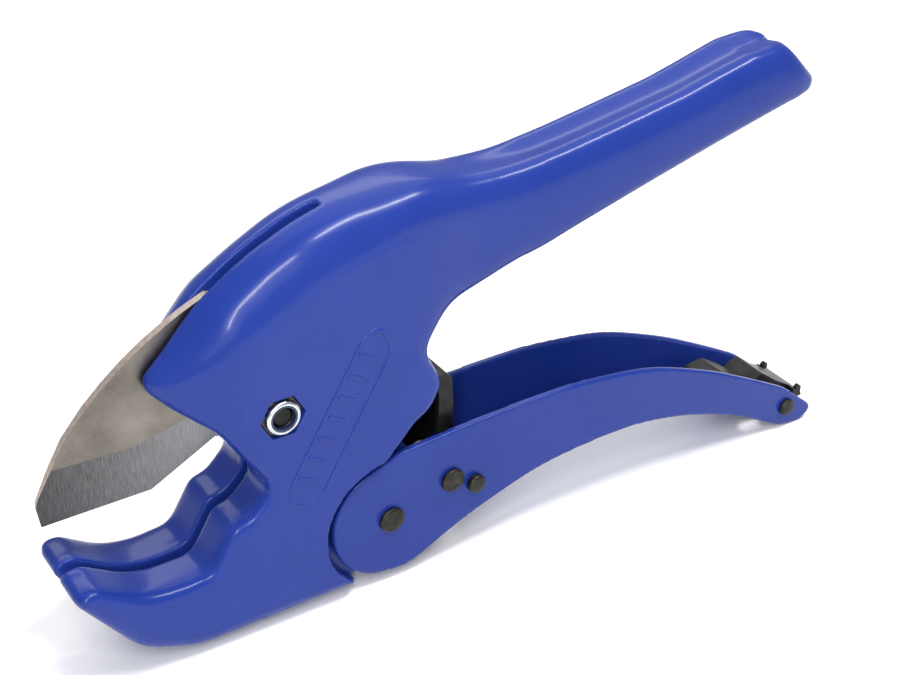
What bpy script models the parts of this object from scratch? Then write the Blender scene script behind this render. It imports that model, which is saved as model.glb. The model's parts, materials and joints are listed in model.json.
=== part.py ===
"""Ratchet cutter for plastic pipe: cast body, ratchet blade, sheet-steel lever, pawl and latch.

Design numbers are in millimetres and are turned into metres where meshes are made. The tool frame
has its origin on the blade pivot at mid-thickness: +X runs to the handles, +Z is up and -Y is the
side that the lock nut is on. The tool stands on its jaw and on the end of its lever.
"""
import math

import bmesh
import bpy
from mathutils import Vector

MM = 0.001

# ---- driving dimensions, mm -------------------------------------------------------------------
GAP = 0.3                     # between pieces that seat on each other
BODY_T = 26.0                 # casting thickness at head and jaw
HANDLE_ROOT = 46.0            # where the handle leaves the head
HANDLE_W = 20.0               # handle width
HANDLE_LENGTH = 154.6         # blade pivot to the handle's tip, along X
GRIP_DRAWN = 108.0            # grip length the handle's stations are drawn for
HANDLE_WALL = 3.0
HANDLE_DIP = 0.9              # depth of the shallow channel along the handle's top
NOSE_START, NOSE_LENGTH = -9.4, 19.2          # the head's nose draws in from here, over this length
NOSE_TIP_WIDTH = 9.0
THROAT_Z = -10.0              # nose above, jaw below
BLADE_T = 2.0
TAIL_R = 42.5                 # tip circle of the ratchet teeth
TOOTH_DEPTH = 2.6
TOOTH_PITCH = 7.0             # degrees
TOOTH_FIRST = -38.0           # degrees from +X, blade as stored
TOOTH_COUNT = 10
BOLT_R = 2.5
BUSH_WALL = 1.7
BLADE_EDGE = ((-52.7, -17.0), (-27.1, -16.7), (-10.9, -8.2))   # cutting edge, tip first (x, z)
BEVEL_WIDTHS = (14.5, 13.5, 9.0)                               # ground bevel at those points
EDGE_HALF = 0.06                                               # half the edge's own thickness
NUT_AF = 9.2                  # across flats
NUT_H = 5.4
NUT_RECESS = 5.2              # depth of the hexagonal recess
NUT_PLAY = 0.25               # recess wall to nut flat
HEAD_H = 3.2
WASHER_T = 1.2
SEAT_DEPTH = 2.2              # spot face under the washer
WASHER_R = 8.0
LEVER_W = 23.0                # over the lever's plates
SHEET_T = 2.0                 # lever sheet thickness
LEVER_LENGTH = 136.7          # lever pivot to the lever's tip, along X
LEVER_DRAWN = 136.7           # lever length its outline is drawn for
THRUST_T = 0.6                # washers between lever and body
LEVER_SWING = 34.0            # degrees from rest until the handles meet
LEVER_EYE_R = 15.5            # round end of the lever's plates
EYE_REACH = 26.0              # from the pivot to where the lever's grip begins
TIP_REACH = 46.0              # last of the lever that the latch lies in, kept as drawn
RECESS_PLAY = 2.2             # recess arc to the lever's round end
LEVER_PIN_R = 2.5
PAWL_PIN_R = 2.2
ANCHOR_PIN_R = 1.4
LATCH_PIN_R = 1.5
RIVET_HEAD_R = (6.6 / 2, 6.2 / 2, 4.8 / 2, 4.9 / 2)   # heads at lever, pawl, anchor, latch
RIVET_HEAD_H = (1.0, 1.0, 1.5, 0.9)
PAWL_W = 14.0
PAWL_EYE_R = 4.9
SPACER_WALL = 1.4
PAWL_T = 1.5
PAWL_CLEAR = 0.5              # pawl tooth to the tooth tip circle
LATCH_W = 11.0
LATCH_TAB_W = 15.4
LATCH_T = 1.4
LATCH_INSET = 10.9            # latch pivot back from the lever's tip
CATCH_R = 1.6
STOP_R = 1.5
STOP_REACH = 8.0              # stop pin past mid-thickness into the near cheek; its hole is blind

# ---- pivots, mm from the blade pivot (x, z) -----------------------------------------------------
LEVER_PIVOT = (27.3, -39.3)
PAWL_PIVOT = (LEVER_PIVOT[0] + 17.1, LEVER_PIVOT[1] + 5.1)
ANCHOR_PIN = (LEVER_PIVOT[0] + 23.7, LEVER_PIVOT[1] + 1.8)
LATCH_PIVOT = (LEVER_PIVOT[0] + LEVER_LENGTH - LATCH_INSET, LEVER_PIVOT[1] - 11.6)
CATCH_PIN = (HANDLE_LENGTH - 18.6, 46.5)
STOP_PIN = (-3.0, -36.0)

HALF = BODY_T / 2
SLOT_HALF = BLADE_T / 2 + GAP
TAIL_CLEAR_R = TAIL_R + 0.8
PLATE_IN = LEVER_W / 2 - SHEET_T                 # inner face of a lever plate
CHEEK = PLATE_IN - THRUST_T - 2 * GAP            # half thickness of the body between the plates
SEGMENTS = 32

# ---- colours (linear), roughness, metallic --------------------------------------------------------
FINISHES = {
    "blue_coat": ((0.030, 0.052, 0.36), 0.28, 0.0),
    "blade_steel": ((0.42, 0.41, 0.40), 0.32, 1.0),
    "zinc_plate": ((0.58, 0.60, 0.62), 0.30, 1.0),
    "black_oxide": ((0.035, 0.033, 0.028), 0.42, 0.7),
    "bright_steel": ((0.50, 0.50, 0.50), 0.35, 1.0),
    "spring_steel": ((0.22, 0.21, 0.19), 0.35, 1.0),
    "nylon": ((0.10, 0.16, 0.42), 0.55, 0.0),
}


def clear_scene():
    for thing in list(bpy.data.objects):
        bpy.data.objects.remove(thing, do_unlink=True)


def material(name):
    """One Principled material for each finish, made when it is first asked for."""
    found = bpy.data.materials.get(name)
    if found:
        return found
    colour, roughness, metallic = FINISHES[name]
    made = bpy.data.materials.new(name)
    made.use_nodes = True
    shader = made.node_tree.nodes["Principled BSDF"]
    shader.inputs["Base Color"].default_value = (*colour, 1.0)
    shader.inputs["Roughness"].default_value = roughness
    shader.inputs["Metallic"].default_value = metallic
    return made


# ---- shapes ---------------------------------------------------------------------------------------
def polar(radius, degrees, centre=(0.0, 0.0)):
    angle = math.radians(degrees)
    return (centre[0] + radius * math.cos(angle), centre[1] + radius * math.sin(angle))


def arc(centre, radius, start, end, steps):
    """Points of an arc from start to end, in degrees, both ends included."""
    return [polar(radius, start + (end - start) * i / steps, centre) for i in range(steps + 1)]


def circle(centre, radius, steps=SEGMENTS):
    return arc(centre, radius, 0.0, 360.0 * (steps - 1) / steps, steps - 1)


def fillet(corners, step=14.0):
    """Round each corner (x, z, radius, extras...) of a closed outline; extras ride along."""
    out = []
    count = len(corners)
    for i, corner in enumerate(corners):
        here = Vector(corner[:2])
        back = Vector(corners[i - 1][:2]) - here
        ahead = Vector(corners[(i + 1) % count][:2]) - here
        radius, extras = corner[2], tuple(corner[3:])
        bend = math.pi - back.angle(ahead)
        if radius <= 0.0 or bend < math.radians(1.0):
            out.append((here.x, here.y) + extras)
            continue
        reach = min(radius * math.tan(bend / 2), 0.48 * back.length, 0.48 * ahead.length)
        radius = reach / math.tan(bend / 2)
        first, last = here + back.normalized() * reach, here + ahead.normalized() * reach
        inward = (back.normalized() + ahead.normalized()).normalized()
        centre = here + inward * (radius / math.cos(bend / 2))
        steps = max(1, round(math.degrees(bend) / step))
        a0 = math.atan2(first.y - centre.y, first.x - centre.x)
        a1 = math.atan2(last.y - centre.y, last.x - centre.x)
        sweep = (a1 - a0 + math.pi) % (2 * math.pi) - math.pi
        for k in range(steps + 1):
            a = a0 + sweep * k / steps
            out.append((centre.x + radius * math.cos(a), centre.y + radius * math.sin(a)) + extras)
    return out


def area(points):
    return sum(a[0] * b[1] - b[0] * a[1] for a, b in zip(points, points[1:] + points[:1])) / 2


def loft(rings, closed=False):
    """Mesh from rings of 3-D points (mm): bridged in order, end caps unless closed."""
    mesh = bmesh.new()
    made = [[mesh.verts.new(Vector(p) * MM) for p in ring] for ring in rings]
    pairs = list(zip(made, made[1:]))
    if closed:
        pairs.append((made[-1], made[0]))
    for low, high in pairs:
        for i in range(len(low)):
            j = (i + 1) % len(low)
            mesh.faces.new((low[i], low[j], high[j], high[i]))
    if not closed:
        mesh.faces.new(made[0])
        mesh.faces.new(made[-1])
    bmesh.ops.recalc_face_normals(mesh, faces=mesh.faces)
    return mesh


def prism(outline, y_low, y_high):
    """An outline in (x, z) given thickness along Y."""
    points = [p[:2] for p in outline]
    return loft([[(x, y, z) for x, z in points] for y in (y_low, y_high)])


def crowned_plate(outline, half, steps=4):
    """A plate whose rim rolls over: each outline point carries its own crown (inward, depth).

    Where the outline turns too tightly for the crown's width, the crown there is drawn in."""
    if area([p[:2] for p in outline]) < 0:
        outline = outline[::-1]
    count = len(outline)
    normals = []
    for i in range(count):
        before, here, after = (Vector(outline[k % count][:2]) for k in (i - 1, i, i + 1))
        along = (after - here).normalized() + (here - before).normalized()
        normals.append(Vector((-along.y, along.x)).normalized())
    widths = [p[2] for p in outline]
    for _ in range(80):
        for i in range(count):
            j = (i + 1) % count
            run = Vector(outline[j][:2]) - Vector(outline[i][:2])
            moved = run + normals[j] * widths[j] - normals[i] * widths[i]
            if moved.dot(run) < 0.15 * run.dot(run):
                widths[i] *= 0.93
                widths[j] *= 0.93
    rings = []
    for side in (-1, 1):
        levels = range(steps, -1, -1) if side < 0 else range(steps + 1)
        for level in levels:
            a = math.pi / 2 * level / steps
            ring = []
            for (x, z, _, deep), normal, wide in zip(outline, normals, widths):
                inset = wide * (1 - math.cos(a))
                y = half - deep + deep * math.sin(a)
                ring.append((x + normal.x * inset, side * y, z + normal.y * inset))
            rings.append(ring)
    return loft(rings)


def turned(centre, profile, segments=SEGMENTS, bored=False):
    """A turned piece about Y: profile of (radius, y); bored joins the last ring to the first."""
    rings = [[(*polar(r, 360.0 * i / segments, centre), y) for i in range(segments)]
             for r, y in profile]
    return loft([[(x, y, z) for x, z, y in ring] for ring in rings], closed=bored)


def tube(centre, inner, outer, y_low, y_high, segments=SEGMENTS):
    return turned(centre, [(inner, y_low), (outer, y_low), (outer, y_high), (inner, y_high)],
                  segments, bored=True)


def hexagon(centre, across_flats):
    return arc(centre, across_flats / math.sqrt(3), 0.0, 300.0, 5)


def place(name, mesh, finish, pivot=(0.0, 0.0), bevel=0.0, parent=None):
    """A named object whose origin is on the pivot, with its finish and an optional edge break."""
    data = bpy.data.meshes.new(name)
    bmesh.ops.translate(mesh, vec=(-pivot[0] * MM, 0.0, -pivot[1] * MM), verts=mesh.verts)
    mesh.to_mesh(data)
    mesh.free()
    data.shade_smooth()
    data.set_sharp_from_angle(angle=math.radians(35))
    thing = bpy.data.objects.new(name, data)
    thing.location = (pivot[0] * MM, 0.0, pivot[1] * MM)
    thing.parent = parent or bpy.data.objects["tool"]
    data.materials.append(material(finish))
    bpy.context.collection.objects.link(thing)
    if bevel:
        edge = thing.modifiers.new("edge_break", "BEVEL")
        edge.width = bevel * MM
        edge.segments = 1
        edge.limit_method = "ANGLE"
        edge.angle_limit = math.radians(50)
    return thing


def tool_for(thing, name, mesh, operation="DIFFERENCE"):
    """Cut the mesh from the thing, or join it on, with a hidden tool object."""
    data = bpy.data.meshes.new(name)
    mesh.to_mesh(data)
    mesh.free()
    cutter = bpy.data.objects.new(name, data)
    cutter.parent = bpy.data.objects["tool"]
    cutter.hide_render = True
    cutter.display_type = "WIRE"
    bpy.context.collection.objects.link(cutter)
    step = thing.modifiers.new(name, "BOOLEAN")
    step.object = cutter
    step.operation = operation
    step.solver = "EXACT"


# ---- outlines --------------------------------------------------------------------------------------
def body_outline():
    """Head and jaw, anticlockwise from the handle root: (x, z, fillet, crown in, crown depth)."""
    lug_x, lug_z = LEVER_PIVOT[0] + 14.0, LEVER_PIVOT[1] + 33.6
    return fillet([
        (36.0, 44.0, 30.0, 8.0, 6.5),
        (14.0, 42.4, 60.0, 12.0, 10.2),
        (-3.0, 34.9, 60.0, 13.0, 10.6),
        (-14.2, 27.1, 40.0, 10.5, 10.4),
        (-22.0, 18.6, 40.0, 7.0, 9.0),
        (-28.6, 12.2, 3.0, 3.0, 5.0),
        (-23.4, 6.4, 12.0, 2.5, 3.0),
        (-14.6, -0.8, 2.5, 2.0, 2.0),
        (-3.2, -18.4, 4.0, 2.0, 2.0),
        (-9.6, -25.0, 4.0, 2.0, 2.0),
        (-13.6, -25.6, 3.0, 2.0, 2.0),
        (-20.0, -36.2, 4.5, 2.0, 2.0),
        (-34.0, -36.8, 26.0, 2.0, 3.0),
        (-46.8, -28.7, 2.6, 1.6, 2.6),
        (-52.4, -30.3, 3.0, 1.9, 3.0),
        (-37.4, -50.9, 14.0, 3.0, 4.0),
        (-24.0, -55.4, 16.0, 2.6, 3.0),
        (18.2, -54.2, 2.6, 2.0, 2.0),
        (LEVER_PIVOT[0] + 9.0, LEVER_PIVOT[1] - 12.0, 6.0, 2.0, 2.0),
        (LEVER_PIVOT[0] + 10.5, LEVER_PIVOT[1] + 12.0, 8.0, 2.0, 2.0),
        (29.6, -17.6, 6.0, 2.0, 2.0),
        (lug_x - 2.4, lug_z - 5.6, 5.0, 2.0, 2.0),
        (lug_x + 0.8, lug_z + 0.6, 4.0, 2.0, 2.0),
        (lug_x - 3.2, lug_z + 8.6, 3.0, 2.0, 2.0),
        (38.0, 5.4, 3.0, 2.4, 2.4),
        (44.6, 12.4, 8.0, 3.4, 3.4),
        (46.6, 30.0, 14.0, 7.5, 5.0),
    ])


def taper(mesh):
    """Draw in the head's nose, which is narrower in plan than the rest."""
    for k in range(8):
        x = NOSE_START - NOSE_LENGTH * k / 8
        geometry = mesh.verts[:] + mesh.edges[:] + mesh.faces[:]
        bmesh.ops.bisect_plane(mesh, geom=geometry, plane_co=(x * MM, 0, 0), plane_no=(1, 0, 0))
    for vert in mesh.verts:
        x, z = vert.co.x / MM, vert.co.z / MM
        if z > THROAT_Z and x < NOSE_START:
            t = (NOSE_START - x) / NOSE_LENGTH
            vert.co.y *= 1 - (1 - NOSE_TIP_WIDTH / BODY_T) * t ** 1.4
    return mesh


def along(x):
    """The handle's stations spread out with its length, from its root onwards."""
    if x <= HANDLE_ROOT:
        return x
    return HANDLE_ROOT + (x - HANDLE_ROOT) * (HANDLE_LENGTH - HANDLE_ROOT) / GRIP_DRAWN


def handle_station(x):
    """Handle cross-section data at x: top z, bottom z, half width."""
    knots = (
        (20.0, 35.0, 20.0, 11.4), (34.0, 43.6, 14.0, 11.6), (42.0, 43.7, 10.0, 11.5),
        (50.0, 42.4, 13.9, 10.9), (58.0, 41.1, 16.4, 10.3), (68.0, 41.2, 19.1, 10.0),
        (80.0, 43.2, 22.8, 10.0), (97.0, 46.4, 27.5, 10.0), (112.0, 49.2, 31.6, 10.0),
        (127.0, 52.0, 35.6, 10.1), (138.0, 54.0, 38.6, 10.4), (146.0, 55.1, 40.6, 10.5),
    )
    for low, high in zip(knots, knots[1:]):
        if x <= along(high[0]):
            break
    t = (x - along(low[0])) / (along(high[0]) - along(low[0]))
    top, bottom, half = (low[k] + (high[k] - low[k]) * t for k in (1, 2, 3))
    return top, bottom, half * HANDLE_W / 20.0


def handle_section(x, lean, inset=0.0, drop=0.0):
    """Points (x, y, z) round the handle at x, leaning back by lean at the top."""
    top, bottom, half = handle_station(x)
    top, bottom, half = top - inset, bottom - drop, half - inset
    tall = top - bottom
    ridge = half - 3.6
    shoulder = min(6.5, 0.4 * tall)
    dip = HANDLE_DIP * min(1.0, max(0.0, (x - 44.0) / 20.0)) if inset == 0.0 else 0.0
    low_r = 2.4 if drop == 0.0 else 0.2
    half_points = []
    for k in range(4):
        a = math.pi / 2 * k / 3
        half_points.append((half - low_r + low_r * math.sin(a), low_r - low_r * math.cos(a)))
    half_points.append((half + 0.25, tall * 0.40))
    for k in range(5):
        a = math.pi / 2 * k / 4
        half_points.append((ridge + (half - ridge) * math.cos(a),
                            tall - shoulder + shoulder * math.sin(a)))
    half_points.append((ridge * 0.45, tall - dip * 0.85))
    section = half_points + [(-y, v) for y, v in half_points[::-1]]
    return [(x - lean * v / tall, y, bottom + v) for y, v in section]


def handle_rings(start, end, inset=0.0, drop=0.0):
    """Sections along the handle; the last ones lean back and draw in to round the end."""
    rings = []
    stations = [20.0, 27.0, 34.0, 42.0, 50.0, 58.0, 68.0, 80.0, 97.0, 112.0, 127.0, 138.0]
    for x in stations:
        if start <= x <= end:
            rings.append(handle_section(along(x), max(0.0, (x - 112.0) * 0.30), inset, drop))
    return rings


def handle_mesh():
    """The upper handle with its drawn-in end."""
    rings = handle_rings(20.0, 138.0)
    straight = HANDLE_LENGTH - 8.0
    for back, draw in ((11.0, 0.0), (5.5, 0.35), (2.6, 1.2), (0.7, 2.8), (0.0, 4.6)):
        x = HANDLE_LENGTH - back
        ring = handle_section(min(x, straight), 0.0)
        top = max(p[2] for p in ring)
        bottom = min(p[2] for p in ring)
        middle = (top + bottom) / 2
        scale_y = 1 - draw / 11.0
        scale_z = 1 - draw / (top - bottom)
        rise = 0.18 * max(0.0, x - straight)
        out = []
        for _, y, z in ring:
            height = middle + rise + (z - middle) * scale_z
            out.append((x - 9.8 * (z - bottom) / (top - bottom), y * scale_y, height))
        rings.append(out)
    return loft(rings)


def down_lever(x):
    """X of a point that lies x along the lever as drawn; only the grip's middle is stretched."""
    if x <= EYE_REACH:
        return LEVER_PIVOT[0] + x
    if x >= LEVER_DRAWN - TIP_REACH:
        return LEVER_PIVOT[0] + LEVER_LENGTH - (LEVER_DRAWN - x)
    stretch = (LEVER_LENGTH - TIP_REACH - EYE_REACH) / (LEVER_DRAWN - TIP_REACH - EYE_REACH)
    return LEVER_PIVOT[0] + EYE_REACH + (x - EYE_REACH) * stretch


def lever_outline():
    """Side of a lever plate about its pivot, round end first, fillets in millimetres."""
    px, pz = LEVER_PIVOT
    tip = px + LEVER_LENGTH
    corners = [
        (tip, pz - 15.4, 2.0), (tip - 12.0, pz - 5.2, 20.0), (down_lever(100.7), pz + 7.5, 60.0),
        (down_lever(78.0), pz + 16.7, 60.0), (down_lever(52.0), pz + 19.9, 70.0),
        (px + 26.0, pz + 19.3, 60.0),
        (px + 2.0, pz + 17.6, 20.0),
    ]
    eye = arc(LEVER_PIVOT, LEVER_EYE_R, 108.0, 254.0, 10)
    bottom = [
        (px + 4.5, pz - 16.0, 20.0), (px + 22.0, pz - 7.6, 40.0), (down_lever(44.0), pz - 0.4, 60.0),
        (down_lever(72.0), pz + 1.4, 60.0), (down_lever(91.0), pz - 2.2, 60.0),
        (down_lever(109.0), pz - 8.8, 30.0),
        (tip - 13.0, pz - 17.6, 6.0), (tip - 5.0, pz - 18.4, 3.0),
    ]
    top = fillet(corners + [(p[0], p[1], 0.0) for p in (eye[0], eye[5], eye[-1])] + bottom, step=7.0)
    first = min(range(len(top)), key=lambda i: math.dist(top[i][:2], eye[0]))
    last = min(range(len(top)), key=lambda i: math.dist(top[i][:2], eye[-1]))
    return top[:first] + eye + top[last + 1:]


def lever_sweep():
    """All that a lever plate covers above its pivot, from rest to fully squeezed."""
    side = [Vector(p[:2]) - Vector(LEVER_PIVOT) for p in lever_outline()]
    edges = list(zip(side, side[1:] + side[:1]))
    reach = {}
    for degrees in range(-14, 152, 2):
        ray = Vector(polar(1.0, degrees))
        found = [60.0]
        for a, b in edges:
            run = b - a
            across = ray.cross(run)
            if abs(across) > 1e-9:
                distance, share = a.cross(run) / across, a.cross(ray) / across
                if distance > 0.0 and 0.0 <= share <= 1.0:
                    found.append(distance)
        reach[degrees] = min(found)
    swing = range(0, int(LEVER_SWING) + 1, 2)
    outline = [LEVER_PIVOT]
    for degrees in range(20, 150, 4):
        outline.append(polar(max(reach[degrees - t] for t in swing) + 2 * GAP, degrees, LEVER_PIVOT))
    return outline


def blade_outline():
    """Blade seen from -Y: knife, hub and toothed tail as one outline."""
    tail = []
    root = TAIL_R - TOOTH_DEPTH
    for i in range(TOOTH_COUNT):
        start = TOOTH_FIRST + i * TOOTH_PITCH
        tail.append(polar(root, start))
        tail.append(polar(TAIL_R, start + 0.12 * TOOTH_PITCH))
        tail.append(polar(TAIL_R - 0.15 * TOOTH_DEPTH, start + 0.35 * TOOTH_PITCH))
    end = TOOTH_FIRST + TOOTH_COUNT * TOOTH_PITCH
    tail.append(polar(root, end))
    back = [polar(34.0, end + 6.0), polar(24.0, 62.0), polar(25.5, 88.0), (-10.6, 28.4),
            (-17.0, 25.6), (-20.8, 23.6), (-25.6, 20.8), (-30.5, 17.5), (-35.4, 13.6), (-40.4, 9.0),
            (-45.6, 3.0), (-50.0, -4.4), (-53.0, -10.0), (-53.4, -11.5)]
    edge = list(BLADE_EDGE)
    hub = [(-8.6, -9.4), (-3.0, -12.2), (4.0, -13.0), polar(17.0, -56.0), polar(30.0, -47.0),
           polar(root - 1.2, TOOTH_FIRST - 3.0)]
    return tail + back + edge + hub


# ---- pieces ----------------------------------------------------------------------------------------
def make_body():
    body = place("body_casting", taper(crowned_plate(body_outline(), HALF)), "blue_coat")
    tool_for(body, "handle_shape", handle_mesh(), "UNION")

    hollow = handle_rings(68.0, 138.0, inset=HANDLE_WALL, drop=4.0)
    last = [(x + 6.5, y, z + 1.7) for x, y, z in hollow[-1]]
    tool_for(body, "handle_hollow", loft(hollow + [last]))
    notch_x = HANDLE_LENGTH - 9.8
    notch = [(notch_x - 5.2, 0.0), (notch_x + 14.0, -9.2), (notch_x + 14.0, 9.2)]
    tool_for(body, "end_notch", loft([[(x + lean, y, z) for x, y in notch]
                                      for z, lean in ((30.0, 14.0), (62.0, -3.8))]))

    tool_for(body, "blade_slot", prism(circle((0, 0), TAIL_CLEAR_R, 72), -SLOT_HALF, SLOT_HALF))
    spine = [(-40.0, 10.0), (16.0, 38.0), (17.6, 40.6), (16.6, 46.0), (8.0, 52.0), (-40.0, 40.0)]
    tool_for(body, "spine_slot", prism(spine, -SLOT_HALF, SLOT_HALF))
    prongs = [(-70.0, 0.0), (-70.0, -43.0), (-38.0, -45.8), (-24.0, -46.4), (-16.0, -40.0),
              (-10.0, 0.0)]
    tool_for(body, "prong_slot", prism(prongs, -SLOT_HALF, SLOT_HALF))

    recess_r = LEVER_EYE_R + RECESS_PLAY
    cheek_cut = arc(LEVER_PIVOT, recess_r, 96.0, 252.0, 16)
    cheek_cut += [(LEVER_PIVOT[0] + 2.0, -70.0), (80.0, -70.0), (80.0, -14.0), (46.0, -10.0)]
    cheek_cut += [(35.0, -12.8)]
    for side, name in ((-1, "lever_recess_near"), (1, "lever_recess_far")):
        ends = sorted((side * CHEEK, side * (HALF + 2.0)))
        tool_for(body, name, prism(cheek_cut, *ends))
        plate = sorted((side * CHEEK, side * (LEVER_W / 2 + GAP)))
        tool_for(body, name + "_sweep", prism(lever_sweep(), *plate))
    reach = math.dist(LEVER_PIVOT, PAWL_PIVOT)
    for name, eye, half in (("pawl_sweep", PAWL_EYE_R + 0.6, PAWL_W / 2 + 0.7),
                            ("spacer_sweep", PAWL_PIN_R + SPACER_WALL + 0.6, PLATE_IN)):
        spread = math.degrees(math.asin(eye / reach))
        end = math.degrees(math.atan2(PAWL_PIVOT[1] - LEVER_PIVOT[1],
                                      PAWL_PIVOT[0] - LEVER_PIVOT[0])) + LEVER_SWING + spread
        sector = arc(LEVER_PIVOT, reach + eye, -40.0, end, 14) + \
            arc(LEVER_PIVOT, reach - eye, end, -40.0, 14)
        tool_for(body, name, prism(sector, -half, half))
    pocket_half = PAWL_W / 2 + 0.7
    pocket = [(LEVER_PIVOT[0] + 8.6, LEVER_PIVOT[1] - 30.0), (LEVER_PIVOT[0] + 8.6, -22.0),
              (35.4, -9.0), (36.4, 5.2), (39.0, 7.0), (60.0, 7.0), (60.0, LEVER_PIVOT[1] - 30.0)]
    tool_for(body, "pawl_pocket", prism(pocket, -pocket_half, pocket_half))
    spring_pocket = circle(LEVER_PIVOT, 6.6, 24)
    tool_for(body, "spring_pocket", prism(spring_pocket, -4.6, 4.6))
    way_out = [(LEVER_PIVOT[0], LEVER_PIVOT[1] + 6.6), (LEVER_PIVOT[0], LEVER_PIVOT[1] - 6.6),
               (LEVER_PIVOT[0] + 20.0, LEVER_PIVOT[1] - 6.6),
               (LEVER_PIVOT[0] + 20.0, LEVER_PIVOT[1] + 6.6)]
    tool_for(body, "spring_way_out", prism(way_out, -4.55, 4.55))

    tool_for(body, "bolt_hole", prism(circle((0, 0), BOLT_R + GAP), -HALF - 2, HALF + 2))
    nut_hole = hexagon((0, 0), NUT_AF + 2 * NUT_PLAY)
    tool_for(body, "nut_recess", prism(nut_hole, -HALF - 2, -HALF + NUT_RECESS))
    tool_for(body, "head_seat", prism(circle((0, 0), WASHER_R + 2 * GAP), HALF - SEAT_DEPTH, HALF + 2))
    tool_for(body, "lever_hole", prism(circle(LEVER_PIVOT, LEVER_PIN_R + GAP), -HALF, HALF))
    tool_for(body, "stop_hole", prism(circle(STOP_PIN, STOP_R + GAP, 20), -STOP_REACH - GAP, HALF + 1))
    catch_floor = -handle_station(CATCH_PIN[0])[2] + 0.5 * HANDLE_WALL
    tool_for(body, "catch_hole", prism(circle(CATCH_PIN, CATCH_R + GAP, 20), catch_floor, HALF))
    return body


def make_blade():
    """Flat blade, thinned by a bevel each side along its edge, with the bush's bore."""
    blade = place("blade", prism(blade_outline(), -BLADE_T / 2, BLADE_T / 2), "blade_steel")
    edge = [Vector(p) for p in BLADE_EDGE]
    first = (edge[1] - edge[0]).normalized()
    second = (edge[2] - edge[1]).normalized()
    stations = ((edge[0] - first * 8.0, first), (edge[1], (first + second).normalized()),
                (edge[2] + second * 0.6, second))
    for side in (-1, 1):
        rings = []
        for (point, along), wide in zip(stations, BEVEL_WIDTHS):
            inward = Vector((-along.y, along.x))
            low = point - inward * 1.5
            high = point + inward * wide
            spare = BLADE_T
            rings.append([(low.x, side * EDGE_HALF, low.y), (low.x, side * spare, low.y),
                          (high.x, side * spare, high.y), (high.x, side * BLADE_T * 0.5, high.y)])
        tool_for(blade, f"edge_bevel_{'near' if side < 0 else 'far'}", loft(rings))
    bore = BOLT_R + GAP + BUSH_WALL + GAP
    tool_for(blade, "blade_bore", prism(circle((0, 0), bore), -BLADE_T, BLADE_T))
    return blade


def make_pivot():
    """Bolt from the far side, bush in the blade, washer, and lock nut with its insert ring."""
    seat = HALF - SEAT_DEPTH
    under_head = seat + GAP + WASHER_T + GAP
    head = prism(hexagon((0, 0), NUT_AF), under_head, under_head + HEAD_H)
    bolt = place("pivot_bolt", head, "zinc_plate", bevel=0.3)
    shank = [(BOLT_R, under_head + 1.0), (BOLT_R, -HALF + 0.9), (BOLT_R - 0.5, -HALF + 0.4)]
    tool_for(bolt, "bolt_shank", turned((0, 0), shank), "UNION")
    place("bolt_washer", tube((0, 0), BOLT_R + GAP, WASHER_R, seat + GAP, seat + GAP + WASHER_T),
          "zinc_plate")
    bush_in = BOLT_R + GAP
    place("blade_bush", tube((0, 0), bush_in, bush_in + BUSH_WALL, -BLADE_T / 2, BLADE_T / 2),
          "bright_steel")
    floor = -HALF + NUT_RECESS - GAP
    nut = place("pivot_nut", prism(hexagon((0, 0), NUT_AF), floor - NUT_H * 0.72, floor), "zinc_plate")
    collar_r = NUT_AF / 2 - 0.4
    collar = turned((0, 0), [(collar_r, floor - NUT_H * 0.6), (collar_r, floor - NUT_H + 0.5),
                             (collar_r - 0.25, floor - NUT_H), (collar_r - 0.75, floor - NUT_H - 0.3)])
    tool_for(nut, "nut_collar", collar, "UNION")
    tool_for(nut, "nut_thread", prism(circle((0, 0), BOLT_R + GAP), floor - 9.0, floor + 1.0))
    ring_out = BOLT_R + 1.1
    tool_for(nut, "ring_seat", prism(circle((0, 0), ring_out + 0.1), floor - 9.0, floor - NUT_H * 0.72))
    place("nut_ring", tube((0, 0), BOLT_R + GAP, ring_out - 0.2, floor - NUT_H - 0.1,
                           floor - NUT_H * 0.72 - GAP), "nylon")
    place("blade_stop_pin", turned(STOP_PIN, [(STOP_R, -STOP_REACH), (STOP_R, HALF - 0.6)], 20),
          "bright_steel")
    return bolt


def make_lever():
    """Channel of sheet steel: two plates and a floor that stops short at both ends."""
    half = LEVER_W / 2
    side = [p[:2] for p in lever_outline()]
    lever = place("lever", prism(side, -half, half), "blue_coat", pivot=LEVER_PIVOT)
    px, pz = LEVER_PIVOT
    tip = px + LEVER_LENGTH
    floor = [(px + 27.0, pz - 4.0), (down_lever(44.0), pz + 1.7), (down_lever(58.0), pz + 2.9),
             (down_lever(72.0), pz + 2.8), (down_lever(91.0), pz - 0.3), (down_lever(109.0), pz - 6.6),
             (tip - 20.5, pz - 11.6), (tip - 18.0, pz - 30.0), (tip + 10.0, pz - 30.0),
             (tip + 10.0, pz + 40.0), (px - 40.0, pz + 40.0), (px - 40.0, pz - 40.0),
             (px + 27.0, pz - 40.0)]
    tool_for(lever, "lever_inside", prism(floor, -PLATE_IN, PLATE_IN))
    for centre, radius, name in ((LEVER_PIVOT, LEVER_PIN_R, "lever_eye"),
                                 (PAWL_PIVOT, PAWL_PIN_R, "pawl_eye"),
                                 (ANCHOR_PIN, ANCHOR_PIN_R, "anchor_eye"),
                                 (LATCH_PIVOT, LATCH_PIN_R, "latch_eye")):
        tool_for(lever, name, prism(circle(centre, radius + GAP, 24), -half - 1, half + 1))
    return lever


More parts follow.
